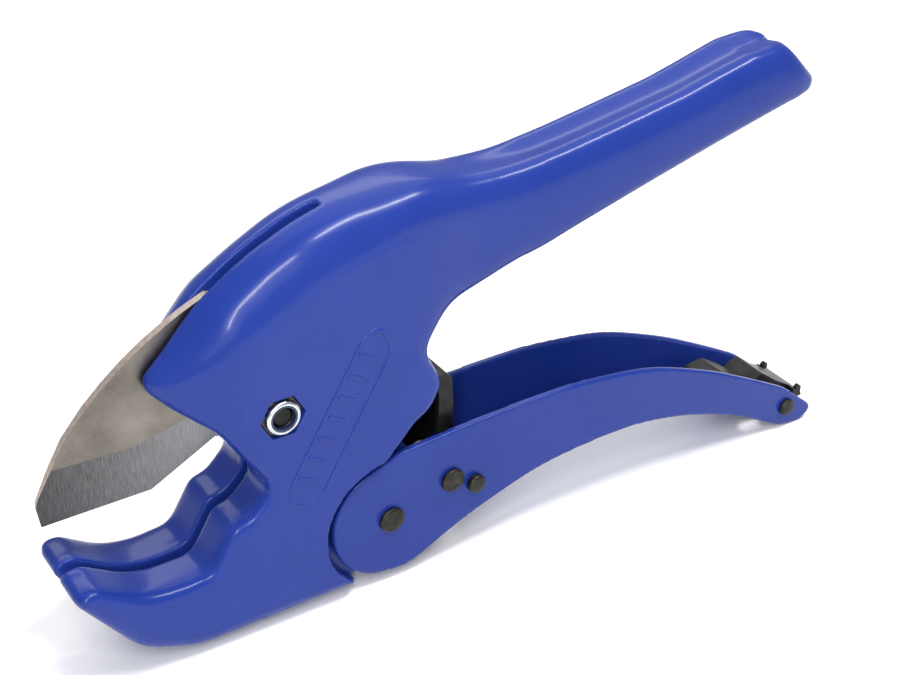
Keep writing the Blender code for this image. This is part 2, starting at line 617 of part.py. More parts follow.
def make_rivets():
    """Four headed rivets through the lever's plates, black."""
    half = LEVER_W / 2
    shanks = (LEVER_PIN_R, PAWL_PIN_R, ANCHOR_PIN_R, LATCH_PIN_R)
    names = ("lever_rivet", "pawl_rivet", "spring_anchor_rivet", "latch_rivet")
    centres = (LEVER_PIVOT, PAWL_PIVOT, ANCHOR_PIN, LATCH_PIVOT)
    for name, centre, shank, head_r, head_h in zip(names, centres, shanks, RIVET_HEAD_R, RIVET_HEAD_H):
        head_r = max(head_r, shank + GAP + 0.5)
        low = half + GAP
        dome = [(head_r, low), (head_r, low + 0.45 * head_h), (0.8 * head_r, low + 0.85 * head_h),
                (0.45 * head_r, low + head_h)]
        profile = [(r, -y) for r, y in dome[::-1]] + [(shank, -low), (shank, low)] + dome
        place(name, turned(centre, profile, 28), "black_oxide", pivot=centre)


def make_spacers():
    """Thrust washers beside the body, and tubes that keep pawl and latch central."""
    washer_low = CHEEK + GAP
    tubes = (
        ("lever_washer", LEVER_PIVOT, LEVER_PIN_R, 4.2, washer_low, washer_low + THRUST_T),
        ("pawl_spacer", PAWL_PIVOT, PAWL_PIN_R, SPACER_WALL, PAWL_W / 2 + GAP, PLATE_IN - GAP),
        ("latch_spacer", LATCH_PIVOT, LATCH_PIN_R, 1.0, LATCH_W / 2 + GAP, PLATE_IN - GAP),
    )
    for name, centre, pin, wall, low, high in tubes:
        for side, end in ((-1, "near"), (1, "far")):
            ends = sorted((side * low, side * high))
            made = tube(centre, pin + GAP, pin + GAP + wall, *ends, segments=28)
            place(f"{name}_{end}", made, "bright_steel", pivot=centre)


def pawl_outline():
    """Pawl from the side: eye round its rivet, upright arm, hooked tip on the ratchet circle."""
    tip = polar(TAIL_R + PAWL_CLEAR, -10.5)
    px, pz = PAWL_PIVOT
    return [*arc(PAWL_PIVOT, PAWL_EYE_R, 150.0, 360.0, 10), (px + 3.4, pz + 12.0), (px + 3.3, pz + 20.0),
            (px + 3.0, pz + 25.6), (px + 1.6, pz + 27.2), (tip[0] + 0.4, tip[1] + 0.9), tip,
            (tip[0] + 0.9, tip[1] - 1.4), (px - 0.6, pz + 21.0), (px - 1.0, pz + 12.0)], tip


def make_pawl():
    """Folded sheet pawl: two flanges, a web behind them and the tooth bar at the top."""
    outline, tip = pawl_outline()
    half = PAWL_W / 2
    pawl = place("pawl", prism(outline, -half, half), "black_oxide", pivot=PAWL_PIVOT)
    px, pz = PAWL_PIVOT
    inside = [(px - 8.0, pz - 8.0), (px + 8.0, pz - 8.0), (px + 8.0, pz + 4.6),
              (px + 3.4 - PAWL_T, pz + 6.0), (px + 3.2 - PAWL_T, pz + 23.4), (tip[0] - 2.0, pz + 23.4),
              (px - 8.0, pz + 20.0)]
    tool_for(pawl, "pawl_inside", prism(inside, -half + PAWL_T, half - PAWL_T))
    tool_for(pawl, "pawl_hole", prism(circle(PAWL_PIVOT, PAWL_PIN_R + GAP, 24), -half - 1, half + 1))
    return pawl


def coil_path(centre, radius, y_low, y_high, start, end):
    """Coil about Y from the start angle to the end angle, climbing from y_low to y_high."""
    steps = round((end - start) / 26.0)
    path = []
    for i in range(steps + 1):
        x, z = polar(radius, start + (end - start) * i / steps, centre)
        path.append((x, y_low + (y_high - y_low) * i / steps, z))
    return path


def wire_piece(name, path, wire, finish, pivot):
    """Round wire swept along the path, as a curve with filled caps."""
    curve = bpy.data.curves.new(name, "CURVE")
    curve.dimensions = "3D"
    curve.bevel_depth = wire / 2 * MM
    curve.bevel_resolution = 2
    curve.use_fill_caps = True
    spline = curve.splines.new("POLY")
    spline.points.add(len(path) - 1)
    for point, (x, y, z) in zip(spline.points, path):
        point.co = ((x - pivot[0]) * MM, y * MM, (z - pivot[1]) * MM, 1.0)
    curve.materials.append(material(finish))
    thing = bpy.data.objects.new(name, curve)
    thing.location = (pivot[0] * MM, 0.0, pivot[1] * MM)
    thing.parent = bpy.data.objects["tool"]
    bpy.context.collection.objects.link(thing)


def make_springs():
    """Return spring in the body at the lever's rivet, pawl spring between the pawl's flanges."""
    px, pz = LEVER_PIVOT
    wire = 1.3
    side = 3.4
    coil = coil_path(LEVER_PIVOT, LEVER_PIN_R + GAP + 0.6 + wire / 2, -side, side, 90.0, 1710.0)
    path = [(px + 12.0, -side, pz + 5.4)] + coil + [(px + 18.0, side, pz - 5.6)]
    wire_piece("return_spring", path, wire, "spring_steel", LEVER_PIVOT)

    px, pz = PAWL_PIVOT
    wire = 0.9
    side = 3.6
    coil = coil_path(PAWL_PIVOT, PAWL_PIN_R + GAP + 0.35 + wire / 2, -side, side, 52.0, 1800.0)
    path = [(px + 9.2, -side, pz - 2.6)] + coil
    path += [(px + 5.4, side, pz + 4.2), (px + 4.9, side, pz + 10.0), (px + 5.4, side, pz + 13.6),
             (px + 6.2, side, pz + 16.4), (px + 5.2, side, pz + 18.8), (px + 4.4, side - 1.4, pz + 19.2)]
    wire_piece("pawl_spring", path, wire, "spring_steel", PAWL_PIVOT)


def make_latch():
    """Folded black latch in the lever's end: hooked flanges, a web and a wide thumb tab."""
    lx, lz = LATCH_PIVOT
    side = fillet([
        (lx + 3.6, lz - 3.0, 2.0), (lx + 9.4, lz - 1.4, 0.6), (lx + 8.8, lz + 0.2, 0.6),
        (lx + 1.5, lz + 4.6, 3.0), (lx - 4.2, lz + 9.0, 1.2), (lx - 9.0, lz + 6.4, 1.0),
        (lx - 11.0, lz + 8.8, 0.8), (lx - 17.0, lz + 12.4, 1.2), (lx - 22.4, lz + 11.8, 2.0),
        (lx - 25.4, lz + 9.4, 0.6), (lx - 17.0, lz + 6.2, 6.0), (lx - 9.2, lz + 1.4, 2.0),
        (lx - 3.5, lz - 3.0, 2.0),
    ], step=30.0)
    half = LATCH_W / 2
    latch = place("latch", prism(side, -half, half), "black_oxide", pivot=LATCH_PIVOT)
    channel = [(lx - 40.0, lz - 10.0), (lx - 40.0, lz + 9.0), (lx - 22.6, lz + 10.2),
               (lx - 17.2, lz + 10.8), (lx - 11.8, lz + 7.6), (lx - 9.2, lz + 4.5),
               (lx - 4.3, lz + 7.2), (lx + 1.0, lz + 3.0), (lx + 7.4, lz - 0.8),
               (lx + 7.4, lz - 10.0)]
    tool_for(latch, "latch_inside", prism(channel, -half + LATCH_T, half - LATCH_T))
    tab = [(lx + 6.4, lz - 1.8), (lx + 9.4, lz - 1.4), (lx + 8.8, lz + 0.2), (lx + 6.0, lz + 1.8)]
    wide = LATCH_TAB_W / 2
    tool_for(latch, "thumb_tab", prism(tab, -wide, wide), "UNION")
    ear = [(lx + 7.0, lz - 1.4), (lx + 8.9, lz - 1.2), (lx + 9.1, lz + 1.5), (lx + 8.3, lz + 2.1),
           (lx + 7.4, lz + 1.5)]
    for sign, name in ((-1, "ear_near"), (1, "ear_far")):
        ends = sorted((sign * (wide - 1.3), sign * (wide - 0.05)))
        tool_for(latch, name, prism(ear, *ends), "UNION")
    tool_for(latch, "latch_hole", prism(circle(LATCH_PIVOT, LATCH_PIN_R + GAP, 20), -half - 1, half + 1))
    handle_half = handle_station(CATCH_PIN[0])[2]
    ends = (-handle_half + 0.5 * HANDLE_WALL + GAP, handle_half - 0.8)
    place("latch_catch_pin", turned(CATCH_PIN, [(CATCH_R, ends[0]), (CATCH_R, ends[1])], 20),
          "bright_steel", pivot=CATCH_PIN)
    return latch


def build():
    clear_scene()
    tool = bpy.data.objects.new("tool", None)
    left = min(p[0] for p in blade_outline())
    right = max(p[0] for p in lever_outline())
    low = min(p[1] for p in lever_outline())
    tool.location = (-(left + right) / 2 * MM, 0.0, -low * MM)
    bpy.context.collection.objects.link(tool)
    make_body()
    make_blade()
    make_pivot()
    make_lever()
    make_rivets()
    make_spacers()
    make_pawl()
    make_springs()
    make_latch()


build()
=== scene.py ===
import json
import math

import bmesh
import bpy
import numpy as np
from mathutils import Matrix, Vector


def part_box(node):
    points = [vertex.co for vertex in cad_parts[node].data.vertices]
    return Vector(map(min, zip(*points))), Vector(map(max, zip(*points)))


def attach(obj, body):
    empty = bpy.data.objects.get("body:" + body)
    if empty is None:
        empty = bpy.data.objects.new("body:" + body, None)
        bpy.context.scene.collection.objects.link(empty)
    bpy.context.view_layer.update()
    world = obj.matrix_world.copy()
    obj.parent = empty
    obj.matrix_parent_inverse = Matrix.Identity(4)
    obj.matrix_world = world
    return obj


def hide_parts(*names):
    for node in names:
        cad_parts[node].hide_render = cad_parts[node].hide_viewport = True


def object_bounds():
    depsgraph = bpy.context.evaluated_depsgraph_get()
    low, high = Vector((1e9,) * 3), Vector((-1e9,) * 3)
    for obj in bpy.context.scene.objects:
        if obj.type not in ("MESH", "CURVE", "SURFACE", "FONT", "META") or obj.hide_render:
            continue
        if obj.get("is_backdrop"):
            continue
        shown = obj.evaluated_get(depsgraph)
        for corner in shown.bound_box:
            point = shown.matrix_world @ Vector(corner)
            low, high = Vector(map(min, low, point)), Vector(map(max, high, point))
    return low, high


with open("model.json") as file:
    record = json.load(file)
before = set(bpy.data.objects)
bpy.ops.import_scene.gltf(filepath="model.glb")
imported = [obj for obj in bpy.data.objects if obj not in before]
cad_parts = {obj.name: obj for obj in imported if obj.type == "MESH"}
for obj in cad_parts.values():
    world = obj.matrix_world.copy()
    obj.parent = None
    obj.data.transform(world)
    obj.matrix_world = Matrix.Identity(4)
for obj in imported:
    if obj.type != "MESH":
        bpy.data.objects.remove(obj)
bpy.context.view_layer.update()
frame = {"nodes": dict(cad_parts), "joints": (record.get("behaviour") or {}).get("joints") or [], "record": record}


# ==== Body casting =================================================================================
# The head, jaw and fixed handle are one die casting in aluminium, sprayed with a gloss blue coat.
# Its walls run into each other with small radii, and the coat rounds every edge a little more.
# Blade, lever and pawl each swing in a slot or recess of their own. Sizes are in millimetres.
MM = 0.001
hinges = {joint["name"]: Vector(joint["pos_m"]) for joint in frame["joints"]}
BLADE_HINGE = hinges["blade_pivot"]


def side_run(start, end):
    """Millimetres along the tool and upwards from one hinge to another."""
    here, there = hinges[start], hinges[end]
    return (there.x - here.x) / MM, (there.z - here.z) / MM


LEVER_AXIS = side_run("blade_pivot", "lever_pivot")
LEVER_LENGTH = 136.7
LEVER_TURN = 34
HEAD_HALF = 13.0
CHEEK_HALF = 8.3
PAWL_BAY_HALF = 7.7
SLOT_WIDTH = 2.6
HANDLE_TIP = 154.6
HANDLE_BEND = 112.0
HANDLE_LEAN = 0.30
NUT_POCKET_AF = 9.7
PIN_HOLE_R = 2.8

# side of head and jaw, anticlockwise from the handle: x, z, fillet, crown in, crown depth
HEAD = (
    (60.0, 40.4, 8.0, 7.0, 8.5), (38.0, 45.4, 40.0, 8.0, 8.0), (14.0, 42.6, 60.0, 12.0, 10.2),
    (-3.0, 34.9, 60.0, 13.0, 10.8),
    (-14.2, 27.1, 40.0, 10.5, 10.4), (-22.0, 18.6, 40.0, 7.0, 9.0), (-28.6, 12.2, 3.0, 3.0, 5.0),
    (-23.4, 6.4, 12.0, 2.5, 3.0), (-14.6, -0.8, 2.5, 2.0, 2.0), (-3.2, -18.4, 4.0, 2.0, 2.0),
    (-9.6, -25.0, 4.0, 2.0, 2.0), (-13.6, -25.6, 3.0, 2.0, 2.0), (-20.0, -36.2, 4.5, 2.0, 2.0),
    (-34.0, -36.8, 26.0, 2.0, 3.0), (-46.8, -28.7, 2.6, 1.6, 2.6), (-52.4, -30.3, 3.0, 1.9, 3.0),
    (-37.4, -50.9, 14.0, 3.0, 4.0), (-24.0, -55.4, 16.0, 2.6, 3.0), (18.2, -54.2, 2.6, 2.0, 2.0),
    (36.3, -51.3, 6.0, 2.0, 2.0), (37.8, -27.3, 8.0, 2.0, 2.0), (29.6, -17.6, 6.0, 2.0, 2.0),
    (38.9, -11.3, 5.0, 2.0, 2.0), (42.1, -5.1, 4.0, 2.0, 2.0), (38.1, 2.9, 3.0, 2.0, 2.0),
    (38.0, 5.4, 3.0, 2.4, 2.4), (44.6, 12.4, 8.0, 3.4, 3.4), (60.0, 20.5, 6.0, 5.0, 5.0),
)
# handle stations: x, top z, bottom z, half width
HANDLE = np.array((
    (34.0, 39.0, 16.0, 9.6), (42.0, 41.6, 12.0, 10.2), (50.0, 42.2, 13.9, 10.5),
    (58.0, 41.8, 16.4, 10.4), (68.0, 41.8, 19.1, 10.0),
    (80.0, 43.4, 22.8, 10.0), (97.0, 46.4, 27.5, 10.0), (112.0, 49.2, 31.6, 10.0),
    (127.0, 52.0, 35.6, 10.1), (138.0, 54.0, 38.6, 10.4), (146.0, 55.1, 40.6, 10.5),
))


def tool_point(x, y, z):
    """A point given in millimetres from the blade's pivot, as the frame has it."""
    return BLADE_HINGE + Vector((x, y, z)) * MM


def add_object(name, mesh):
    thing = bpy.data.objects.new(name, mesh)
    bpy.context.scene.collection.objects.link(thing)
    return thing


def polar(radius, degrees, centre=(0.0, 0.0)):
    return (centre[0] + radius * math.cos(math.radians(degrees)),
            centre[1] + radius * math.sin(math.radians(degrees)))


def arc(centre, radius, start, end, steps):
    return [polar(radius, start + (end - start) * k / steps, centre) for k in range(steps + 1)]


def circle(centre, radius, steps=64):
    return arc(centre, radius, 0.0, 360.0 * (steps - 1) / steps, steps - 1)


def rounded(corners, step=3.0):
    """Round each corner (x, z, radius, extras...) of a closed outline; the extras ride along."""
    out = []
    for k, corner in enumerate(corners):
        here, radius, extras = Vector(corner[:2]), corner[2], tuple(corner[3:])
        back = Vector(corners[k - 1][:2]) - here
        ahead = Vector(corners[(k + 1) % len(corners)][:2]) - here
        bend = math.pi - back.angle(ahead)
        if radius <= 0.0 or bend < 0.01:
            out.append((*here, *extras))
            continue
        reach = min(radius * math.tan(bend / 2), 0.48 * back.length, 0.48 * ahead.length)
        radius = reach / math.tan(bend / 2)
        inward = (back.normalized() + ahead.normalized()).normalized()
        centre = here + inward * (radius / math.cos(bend / 2))
        first = here + back.normalized() * reach - centre
        last = here + ahead.normalized() * reach - centre
        start = math.atan2(first.y, first.x)
        sweep = (math.atan2(last.y, last.x) - start + math.pi) % (2 * math.pi) - math.pi
        steps = max(2, round(math.degrees(bend) / step))
        for m in range(steps + 1):
            a = start + sweep * m / steps
            out.append((centre.x + radius * math.cos(a), centre.y + radius * math.sin(a), *extras))
    return out


def evenly(outline, spacing):
    """Points of a closed outline at even spacing, its extras blended."""
    rows = np.array(outline + outline[:1])
    run = np.concatenate([[0.0], np.cumsum(np.hypot(*np.diff(rows[:, :2], axis=0).T))])
    count = int(run[-1] / spacing)
    at = np.linspace(0.0, run[-1], count, endpoint=False)
    return np.stack([np.interp(at, run, rows[:, k]) for k in range(rows.shape[1])], axis=1)


def ring_blur(values, rounds):
    for _ in range(rounds):
        values = 0.25 * np.roll(values, 1, 0) + 0.5 * values + 0.25 * np.roll(values, -1, 0)
    return values


def bridge(name, rings):
    """A closed mesh from rings of points in millimetres, bridged in order and capped."""
    shell = bmesh.new()
    made = [[shell.verts.new(tool_point(*p)) for p in ring] for ring in rings]
    for low, high in zip(made, made[1:]):
        for k in range(len(low)):
            j = (k + 1) % len(low)
            shell.faces.new((low[k], low[j], high[j], high[k]))
    shell.faces.new(made[0])
    shell.faces.new(made[-1])
    bmesh.ops.recalc_face_normals(shell, faces=shell.faces)
    mesh = bpy.data.meshes.new(name)
    shell.to_mesh(mesh)
    shell.free()
    return add_object(name, mesh)


def slab(name, outline, low, high):
    return bridge(name, [[(x, y, z) for x, z in (p[:2] for p in outline)] for y in (low, high)])


def fade(value, start, end):
    """0 at start, 1 at end, eased between."""
    t = np.clip((value - start) / (end - start), 0.0, 1.0)
    return t * t * (3.0 - 2.0 * t)


def head_blank():
    """Head and jaw: a plate whose rim rolls over, narrower at the nose and towards the handle."""
    rim = evenly(rounded(HEAD), 0.7)
    way = np.roll(rim[:, :2], -1, 0) - np.roll(rim[:, :2], 1, 0)
    normal = ring_blur(np.stack([-way[:, 1], way[:, 0]], 1), 3)
    normal /= np.hypot(*normal.T)[:, None]
    wide, deep = ring_blur(rim[:, 2], 16), ring_blur(rim[:, 3], 16)
    for _ in range(160):
        run = np.roll(rim[:, :2], -1, 0) - rim[:, :2]
        moved = run + np.roll(normal * wide[:, None], -1, 0) - normal * wide[:, None]
        tight = (moved * run).sum(1) < 0.15 * (run * run).sum(1)
        wide = np.where(tight | np.roll(tight, 1), wide * 0.95, wide)
    wide = np.minimum(wide, ring_blur(wide, 8))
    rings = []
    for side in (-1, 1):
        for level in (range(12, -1, -1) if side < 0 else range(13)):
            a = math.pi / 2 * level / 12
            spot = rim[:, :2] + normal * (wide * (1 - math.cos(a)))[:, None]
            y = side * (HEAD_HALF - deep + deep * math.sin(a))
            rings.append(np.stack([spot[:, 0], y, spot[:, 1]], 1))
    head = cast_skin(bridge("head_blank", rings), 0.8)
    place = points_of(head)
    x, _, z = place.T
    nose = np.clip((-9.4 - x) / 19.2, 0.0, 1.0) ** 1.4 * fade(z, -16.0, -8.0)
    root = fade(x, 32.0, 62.0) * fade(z, -4.0, 14.0)
    place[:, 1] *= (1 - (1 - 9.0 / 26.0) * nose) * (1 - 0.24 * root)
    return move_points(head, place)


def lean_at(x):
    """How far the handle leans back at x, past its bend."""
    return HANDLE_LEAN * max(0.0, x - HANDLE_BEND)


def handle_ring(x, lean, inset=0.0, drop=0.0):
    """Section of the handle at x: flat sides, round shoulders, a shallow channel along the top."""
    top, bottom, half = (smooth_table(HANDLE, x, k) for k in (1, 2, 3))
    top, bottom, half = top - inset, bottom - drop, half - inset
    tall = top - bottom
    shoulder = min(7.5, 0.45 * tall)
    dip = 0.9 * float(fade(np.float64(x), 44.0, 66.0)) if inset == 0.0 else 0.0
    low_r = 2.4 if drop == 0.0 else 0.2
    side = [(half - low_r + low_r * math.sin(a), low_r - low_r * math.cos(a))
            for a in (math.pi / 2 * k / 6 for k in range(7))]
    side += [(half + 0.25 * math.sin(math.pi * t), low_r + (tall - shoulder - low_r) * t)
             for t in (0.2, 0.4, 0.6, 0.8)]
    bow = half - 4.4
    side += [(bow + (half - bow) * math.cos(a), tall - shoulder + shoulder * math.sin(a))
             for a in (math.pi / 2 * k / 12 for k in range(13))]
    side += [(bow * t, tall - dip * float(fade(np.float64(1 - t), 0.0, 0.85)))
             for t in (0.85, 0.65, 0.45, 0.25, 0.08)]
    ring = side + [(-y, v) for y, v in side[::-1]]
    return [(x - lean * v / tall, y, bottom + v) for y, v in ring]


def smooth_table(table, x, column):
    """A column of a table of stations at x, with the bends between stations eased."""
    spread = np.linspace(-4.5, 4.5, 7)
    return float(np.mean(np.interp(x + spread, table[:, 0], table[:, column])))


def handle_blank():
    """The fixed handle, its last part leaning back and drawn in to a round end."""
    rings = [handle_ring(x, lean_at(x)) for x in np.arange(36.0, 139.0, 2.0)]
    straight = HANDLE_TIP - 8.0
    for back, draw in ((13.0, 0.0), (11.0, 0.02), (8.0, 0.12), (5.5, 0.35), (4.0, 0.7),
                       (2.6, 1.2), (1.5, 1.9), (0.7, 2.8), (0.2, 3.7), (0.0, 4.6)):
        x = HANDLE_TIP - back
        ring = np.array(handle_ring(min(x, straight), 0.0))
        top, bottom = ring[:, 2].max(), ring[:, 2].min()
        middle, tall = (top + bottom) / 2, top - bottom
        height = middle + 0.18 * max(0.0, x - straight) + (ring[:, 2] - middle) * (1 - draw / tall)
        rings.append(np.stack([x - 9.8 * (ring[:, 2] - bottom) / tall, ring[:, 1] * (1 - draw / 11.0),
                               height], 1))
    return bridge("handle_blank", rings)


def points_of(thing):
    """A piece's points in millimetres from the blade's pivot."""
    place = np.empty(len(thing.data.vertices) * 3)
    thing.data.vertices.foreach_get("co", place)
    return (place.reshape(-1, 3) - np.array(BLADE_HINGE)) / MM


def move_points(thing, place):
    thing.data.vertices.foreach_set("co", (place * MM + np.array(BLADE_HINGE)).ravel())
    thing.data.update()
    return thing


def trued(thing, planes, within=0.12):
    """Set the points that lie within a hair of a sheet's flat face exactly on it."""
    place = points_of(thing)
    for plane in planes:
        near = np.abs(np.abs(place[:, 1]) - plane) < within
        place[near, 1] = np.sign(place[near, 1]) * plane
    return move_points(thing, place)


def settle(thing):
    """Turn a piece's live modifiers into its plain mesh."""
    graph = bpy.context.evaluated_depsgraph_get()
    made = bpy.data.meshes.new_from_object(thing.evaluated_get(graph), depsgraph=graph)
    thing.modifiers.clear()
    thing.data = made
    return thing


def cut(thing, *cutters, operation="DIFFERENCE"):
    for cutter in cutters:
        step = thing.modifiers.new(cutter.name, "BOOLEAN")
        step.object, step.operation, step.solver = cutter, operation, "MANIFOLD"
        cutter.hide_render = True
    settle(thing)
    for cutter in cutters:
        bpy.data.objects.remove(cutter, do_unlink=True)
    return thing


def cast_skin(thing, grain):
    """Rebuild a piece as an even skin, so that its edges can be rounded."""
    skin = thing.modifiers.new("skin", "REMESH")
    skin.mode = "VOXEL"
    skin.voxel_size = grain * MM
    return settle(thing)


def soften(thing, rounds, weights=None, back=0.0):
    """Round the skin: each point drifts towards its neighbours, and back by a share of that."""
    mesh, place = thing.data, points_of(thing)
    count = len(place)
    ends = np.empty(len(mesh.edges) * 2, np.int32)
    mesh.edges.foreach_get("vertices", ends)
    a, b = ends.reshape(-1, 2).T
    near = np.maximum(np.bincount(ends, minlength=count), 1)[:, None]
    share = np.ones((count, 1)) if weights is None else weights[:, None]
    for _ in range(rounds):
        for drift in ((0.5, -0.5 * back) if back else (0.5,)):
            pull = np.stack([np.bincount(a, place[b, k], count) + np.bincount(b, place[a, k], count)
                             for k in range(3)], axis=1)
            place += drift * share * (pull / near - place)
    return move_points(thing, place)


def calm(thing, flat, sharp):
    """For each point of a skin, 1 on smooth ground and 0 along its edges."""
    mesh = thing.data
    count = len(mesh.vertices)
    lean = np.empty(count * 3)
    mesh.vertex_normals.foreach_get("vector", lean)
    lean = lean.reshape(-1, 3)
    ends = np.empty(len(mesh.edges) * 2, np.int32)
    mesh.edges.foreach_get("vertices", ends)
    a, b = ends.reshape(-1, 2).T
    turn = np.sqrt(((lean[a] - lean[b]) ** 2).sum(1))
    steep = np.zeros(count)
    np.maximum.at(steep, a, turn)
    np.maximum.at(steep, b, turn)
    for _ in range(3):
        wider = steep.copy()
        np.maximum.at(wider, a, steep[b])
        np.maximum.at(wider, b, steep[a])
        steep = wider
    return 1.0 - fade(steep, flat, sharp)


def thinned(thing, most):
    """Merge the skin's smallest triangles on flat ground until at most this many are left."""
    thing.data.calc_loop_triangles()
    now = len(thing.data.loop_triangles)
    if now > most:
        step = thing.modifiers.new("thin", "DECIMATE")
        step.ratio = most / now
        settle(thing)
    return thing


def paint(thing, finish):
    """Give a whole piece one finish."""
    mesh = thing.data
    mesh.materials.clear()
    mesh.materials.append(finish.material)
    mesh.polygons.foreach_set("material_index", [0] * len(mesh.polygons))


def level_shading(thing, sharp=50.0):
    """Shade a piece smooth, with its flat faces kept flat and its cut edges crisp."""
    thing.data.shade_smooth()
    thing.data.set_sharp_from_angle(angle=math.radians(sharp))
    weigh = thing.modifiers.new("flats", "WEIGHTED_NORMAL")
    weigh.mode, weigh.weight, weigh.keep_sharp = "FACE_AREA", 100, True
    return settle(thing)


def junction(place):
    """1 where the handle runs out of the head, 0 elsewhere."""
    x, _, z = place.T
    return fade(x, 22.0, 34.0) * (1 - fade(x, 62.0, 74.0)) * fade(z, 4.0, 14.0)


def lever_side():
    """Side of a lever plate: round eye, arched grip and turned-down tip."""
    px, pz = LEVER_AXIS
    tip = px + LEVER_LENGTH
    corners = [(tip, pz - 15.4, 2.0), (tip - 12.0, pz - 5.2, 20.0), (px + 100.7, pz + 7.5, 60.0),
               (px + 78.0, pz + 16.7, 60.0), (px + 52.0, pz + 19.9, 70.0), (px + 26.0, pz + 19.3, 60.0),
               (px + 2.0, pz + 17.6, 20.0)]
    eye = arc(LEVER_AXIS, 15.5, 108.0, 254.0, 48)
    under = [(px + 4.5, pz - 16.0, 20.0), (px + 22.0, pz - 7.6, 40.0), (px + 44.0, pz - 0.4, 60.0),
             (px + 72.0, pz + 1.4, 60.0), (px + 91.0, pz - 2.2, 60.0), (px + 109.0, pz - 8.8, 30.0),
             (tip - 13.0, pz - 17.6, 6.0), (tip - 5.0, pz - 18.4, 3.0)]
    turn = rounded(corners + [(p[0], p[1], 0.0) for p in (eye[0], eye[24], eye[-1])] + under, 2.0)
    first = min(range(len(turn)), key=lambda k: math.dist(turn[k][:2], eye[0]))
    last = min(range(len(turn)), key=lambda k: math.dist(turn[k][:2], eye[-1]))
    side = evenly([p[:2] for p in turn[:first] + eye + turn[last + 1:]], 0.7)
    grip = (fade(side[:, 0], px + 10.0, px + 24.0) * (1 - fade(side[:, 0], tip - 18.0, tip - 8.0)))[:, None]
    return [tuple(p) for p in side + grip * (ring_blur(side, 90) - side)]


def lever_path():
    """All that a lever plate covers above its hinge, from rest to fully squeezed."""
    side = [Vector(p) - Vector(LEVER_AXIS) for p in lever_side()]
    reach = {}
    for degrees in range(-14, 152, 2):
        ray = Vector(polar(1.0, degrees))
        found = [60.0]
        for a, b in zip(side, side[1:] + side[:1]):
            across = ray.cross(b - a)
            if abs(across) > 1e-9 and 0.0 <= a.cross(ray) / across <= 1.0 and a.cross(b - a) / across > 0.0:
                found.append(a.cross(b - a) / across)
        reach[degrees] = min(found)
    furthest = {d: max(reach[d - turn] for turn in range(0, LEVER_TURN + 1, 2)) for d in range(20, 150, 4)}
    return [LEVER_AXIS] + [polar(furthest[d] + 0.6, d, LEVER_AXIS) for d in furthest]


def pawl_path(clear, half, name):
    """The ring sector that the pawl's eye or its spacers sweep about the lever's hinge."""
    run_x, run_z = side_run("lever_pivot", "pawl_pivot")
    reach = math.hypot(run_x, run_z)
    start, end = -40.0, math.degrees(math.atan2(run_z, run_x) + math.asin(clear / reach)) + LEVER_TURN
    sector = arc(LEVER_AXIS, reach + clear, start, end, 30) + arc(LEVER_AXIS, reach - clear, end, start, 30)
    return slab(name, sector, -half, half)


def casting_cutters():
    """Slots for blade, lever and pawl, the handle's hollow and the notch in its end."""
    slot = SLOT_WIDTH / 2
    px, pz = LEVER_AXIS
    yield slab("blade_slot", circle((0, 0), 43.3, 180), -slot, slot)
    spine = [(-40.0, 10.0, 0), (16.0, 38.0, 1.5), (17.6, 40.6, 1.5), (16.6, 46.0, 0), (8.0, 52.0, 0),
             (-40.0, 40.0, 0)]
    yield slab("spine_slot", rounded(spine), -slot, slot)
    prongs = [(-70.0, 0.0, 0), (-70.0, -43.0, 0), (-38.0, -45.8, 0), (-24.0, -46.4, 6.0),
              (-16.0, -40.0, 6.0), (-10.0, 0.0, 0)]
    yield slab("prong_slot", rounded(prongs), -slot, slot)
    hollow = [handle_ring(x, lean_at(x), 3.0, 4.0) for x in np.arange(68.0, 139.0, 5.0)]
    hollow.append([(x + 6.5, y, z + 1.7) for x, y, z in hollow[-1]])
    yield bridge("handle_hollow", hollow)
    notch = rounded([(HANDLE_TIP - 15.0, 0.0, 2.2), (HANDLE_TIP + 4.2, -9.2, 0), (HANDLE_TIP + 4.2, 9.2, 0)])
    yield bridge("end_notch", [[(x + lean, y, z) for x, y in notch]
                               for z, lean in ((30.0, 14.0), (62.0, -3.8))])
    recess = arc(LEVER_AXIS, 17.7, 96.0, 252.0, 60) + [(px + 2.0, -70.0), (80.0, -70.0), (80.0, -14.0),
                                                       (46.0, -10.0), (35.0, -12.8)]
    for side in (-1, 1):
        yield slab("lever_recess", recess, *sorted((side * CHEEK_HALF, side * (HEAD_HALF + 2.0))))
        yield slab("lever_way", lever_path(), *sorted((side * CHEEK_HALF, side * 11.8)))
    bay = [(px + 8.6, pz - 30.0, 0), (px + 8.6, -22.0, 2.0), (35.4, -9.0, 2.0), (36.4, 5.2, 2.0),
           (39.0, 7.0, 0), (60.0, 7.0, 0), (60.0, pz - 30.0, 0)]
    yield slab("pawl_pocket", rounded(bay), -PAWL_BAY_HALF, PAWL_BAY_HALF)
    yield pawl_path(5.5, PAWL_BAY_HALF, "pawl_way")
    yield pawl_path(4.2, 9.5, "spacer_way")
    coil_room = 6.6
    way_out = [(px, pz + coil_room), (px, pz - coil_room), (px + 20.0, pz - coil_room),
               (px + 20.0, pz + coil_room)]
    yield slab("spring_pocket", circle(LEVER_AXIS, coil_room, 32), -4.6, 4.6)
    yield slab("spring_way_out", way_out, -4.5, 4.5)
    yield slab("hinge_hole", circle(LEVER_AXIS, PIN_HOLE_R, 32), -HEAD_HALF, HEAD_HALF)
    yield slab("stop_hole", circle((-3.0, -36.0), 1.8, 24), -CHEEK_HALF, HEAD_HALF + 1.0)
    yield slab("catch_hole", circle((HANDLE_TIP - 18.6, 46.5), 1.9, 24), -9.0, HEAD_HALF)


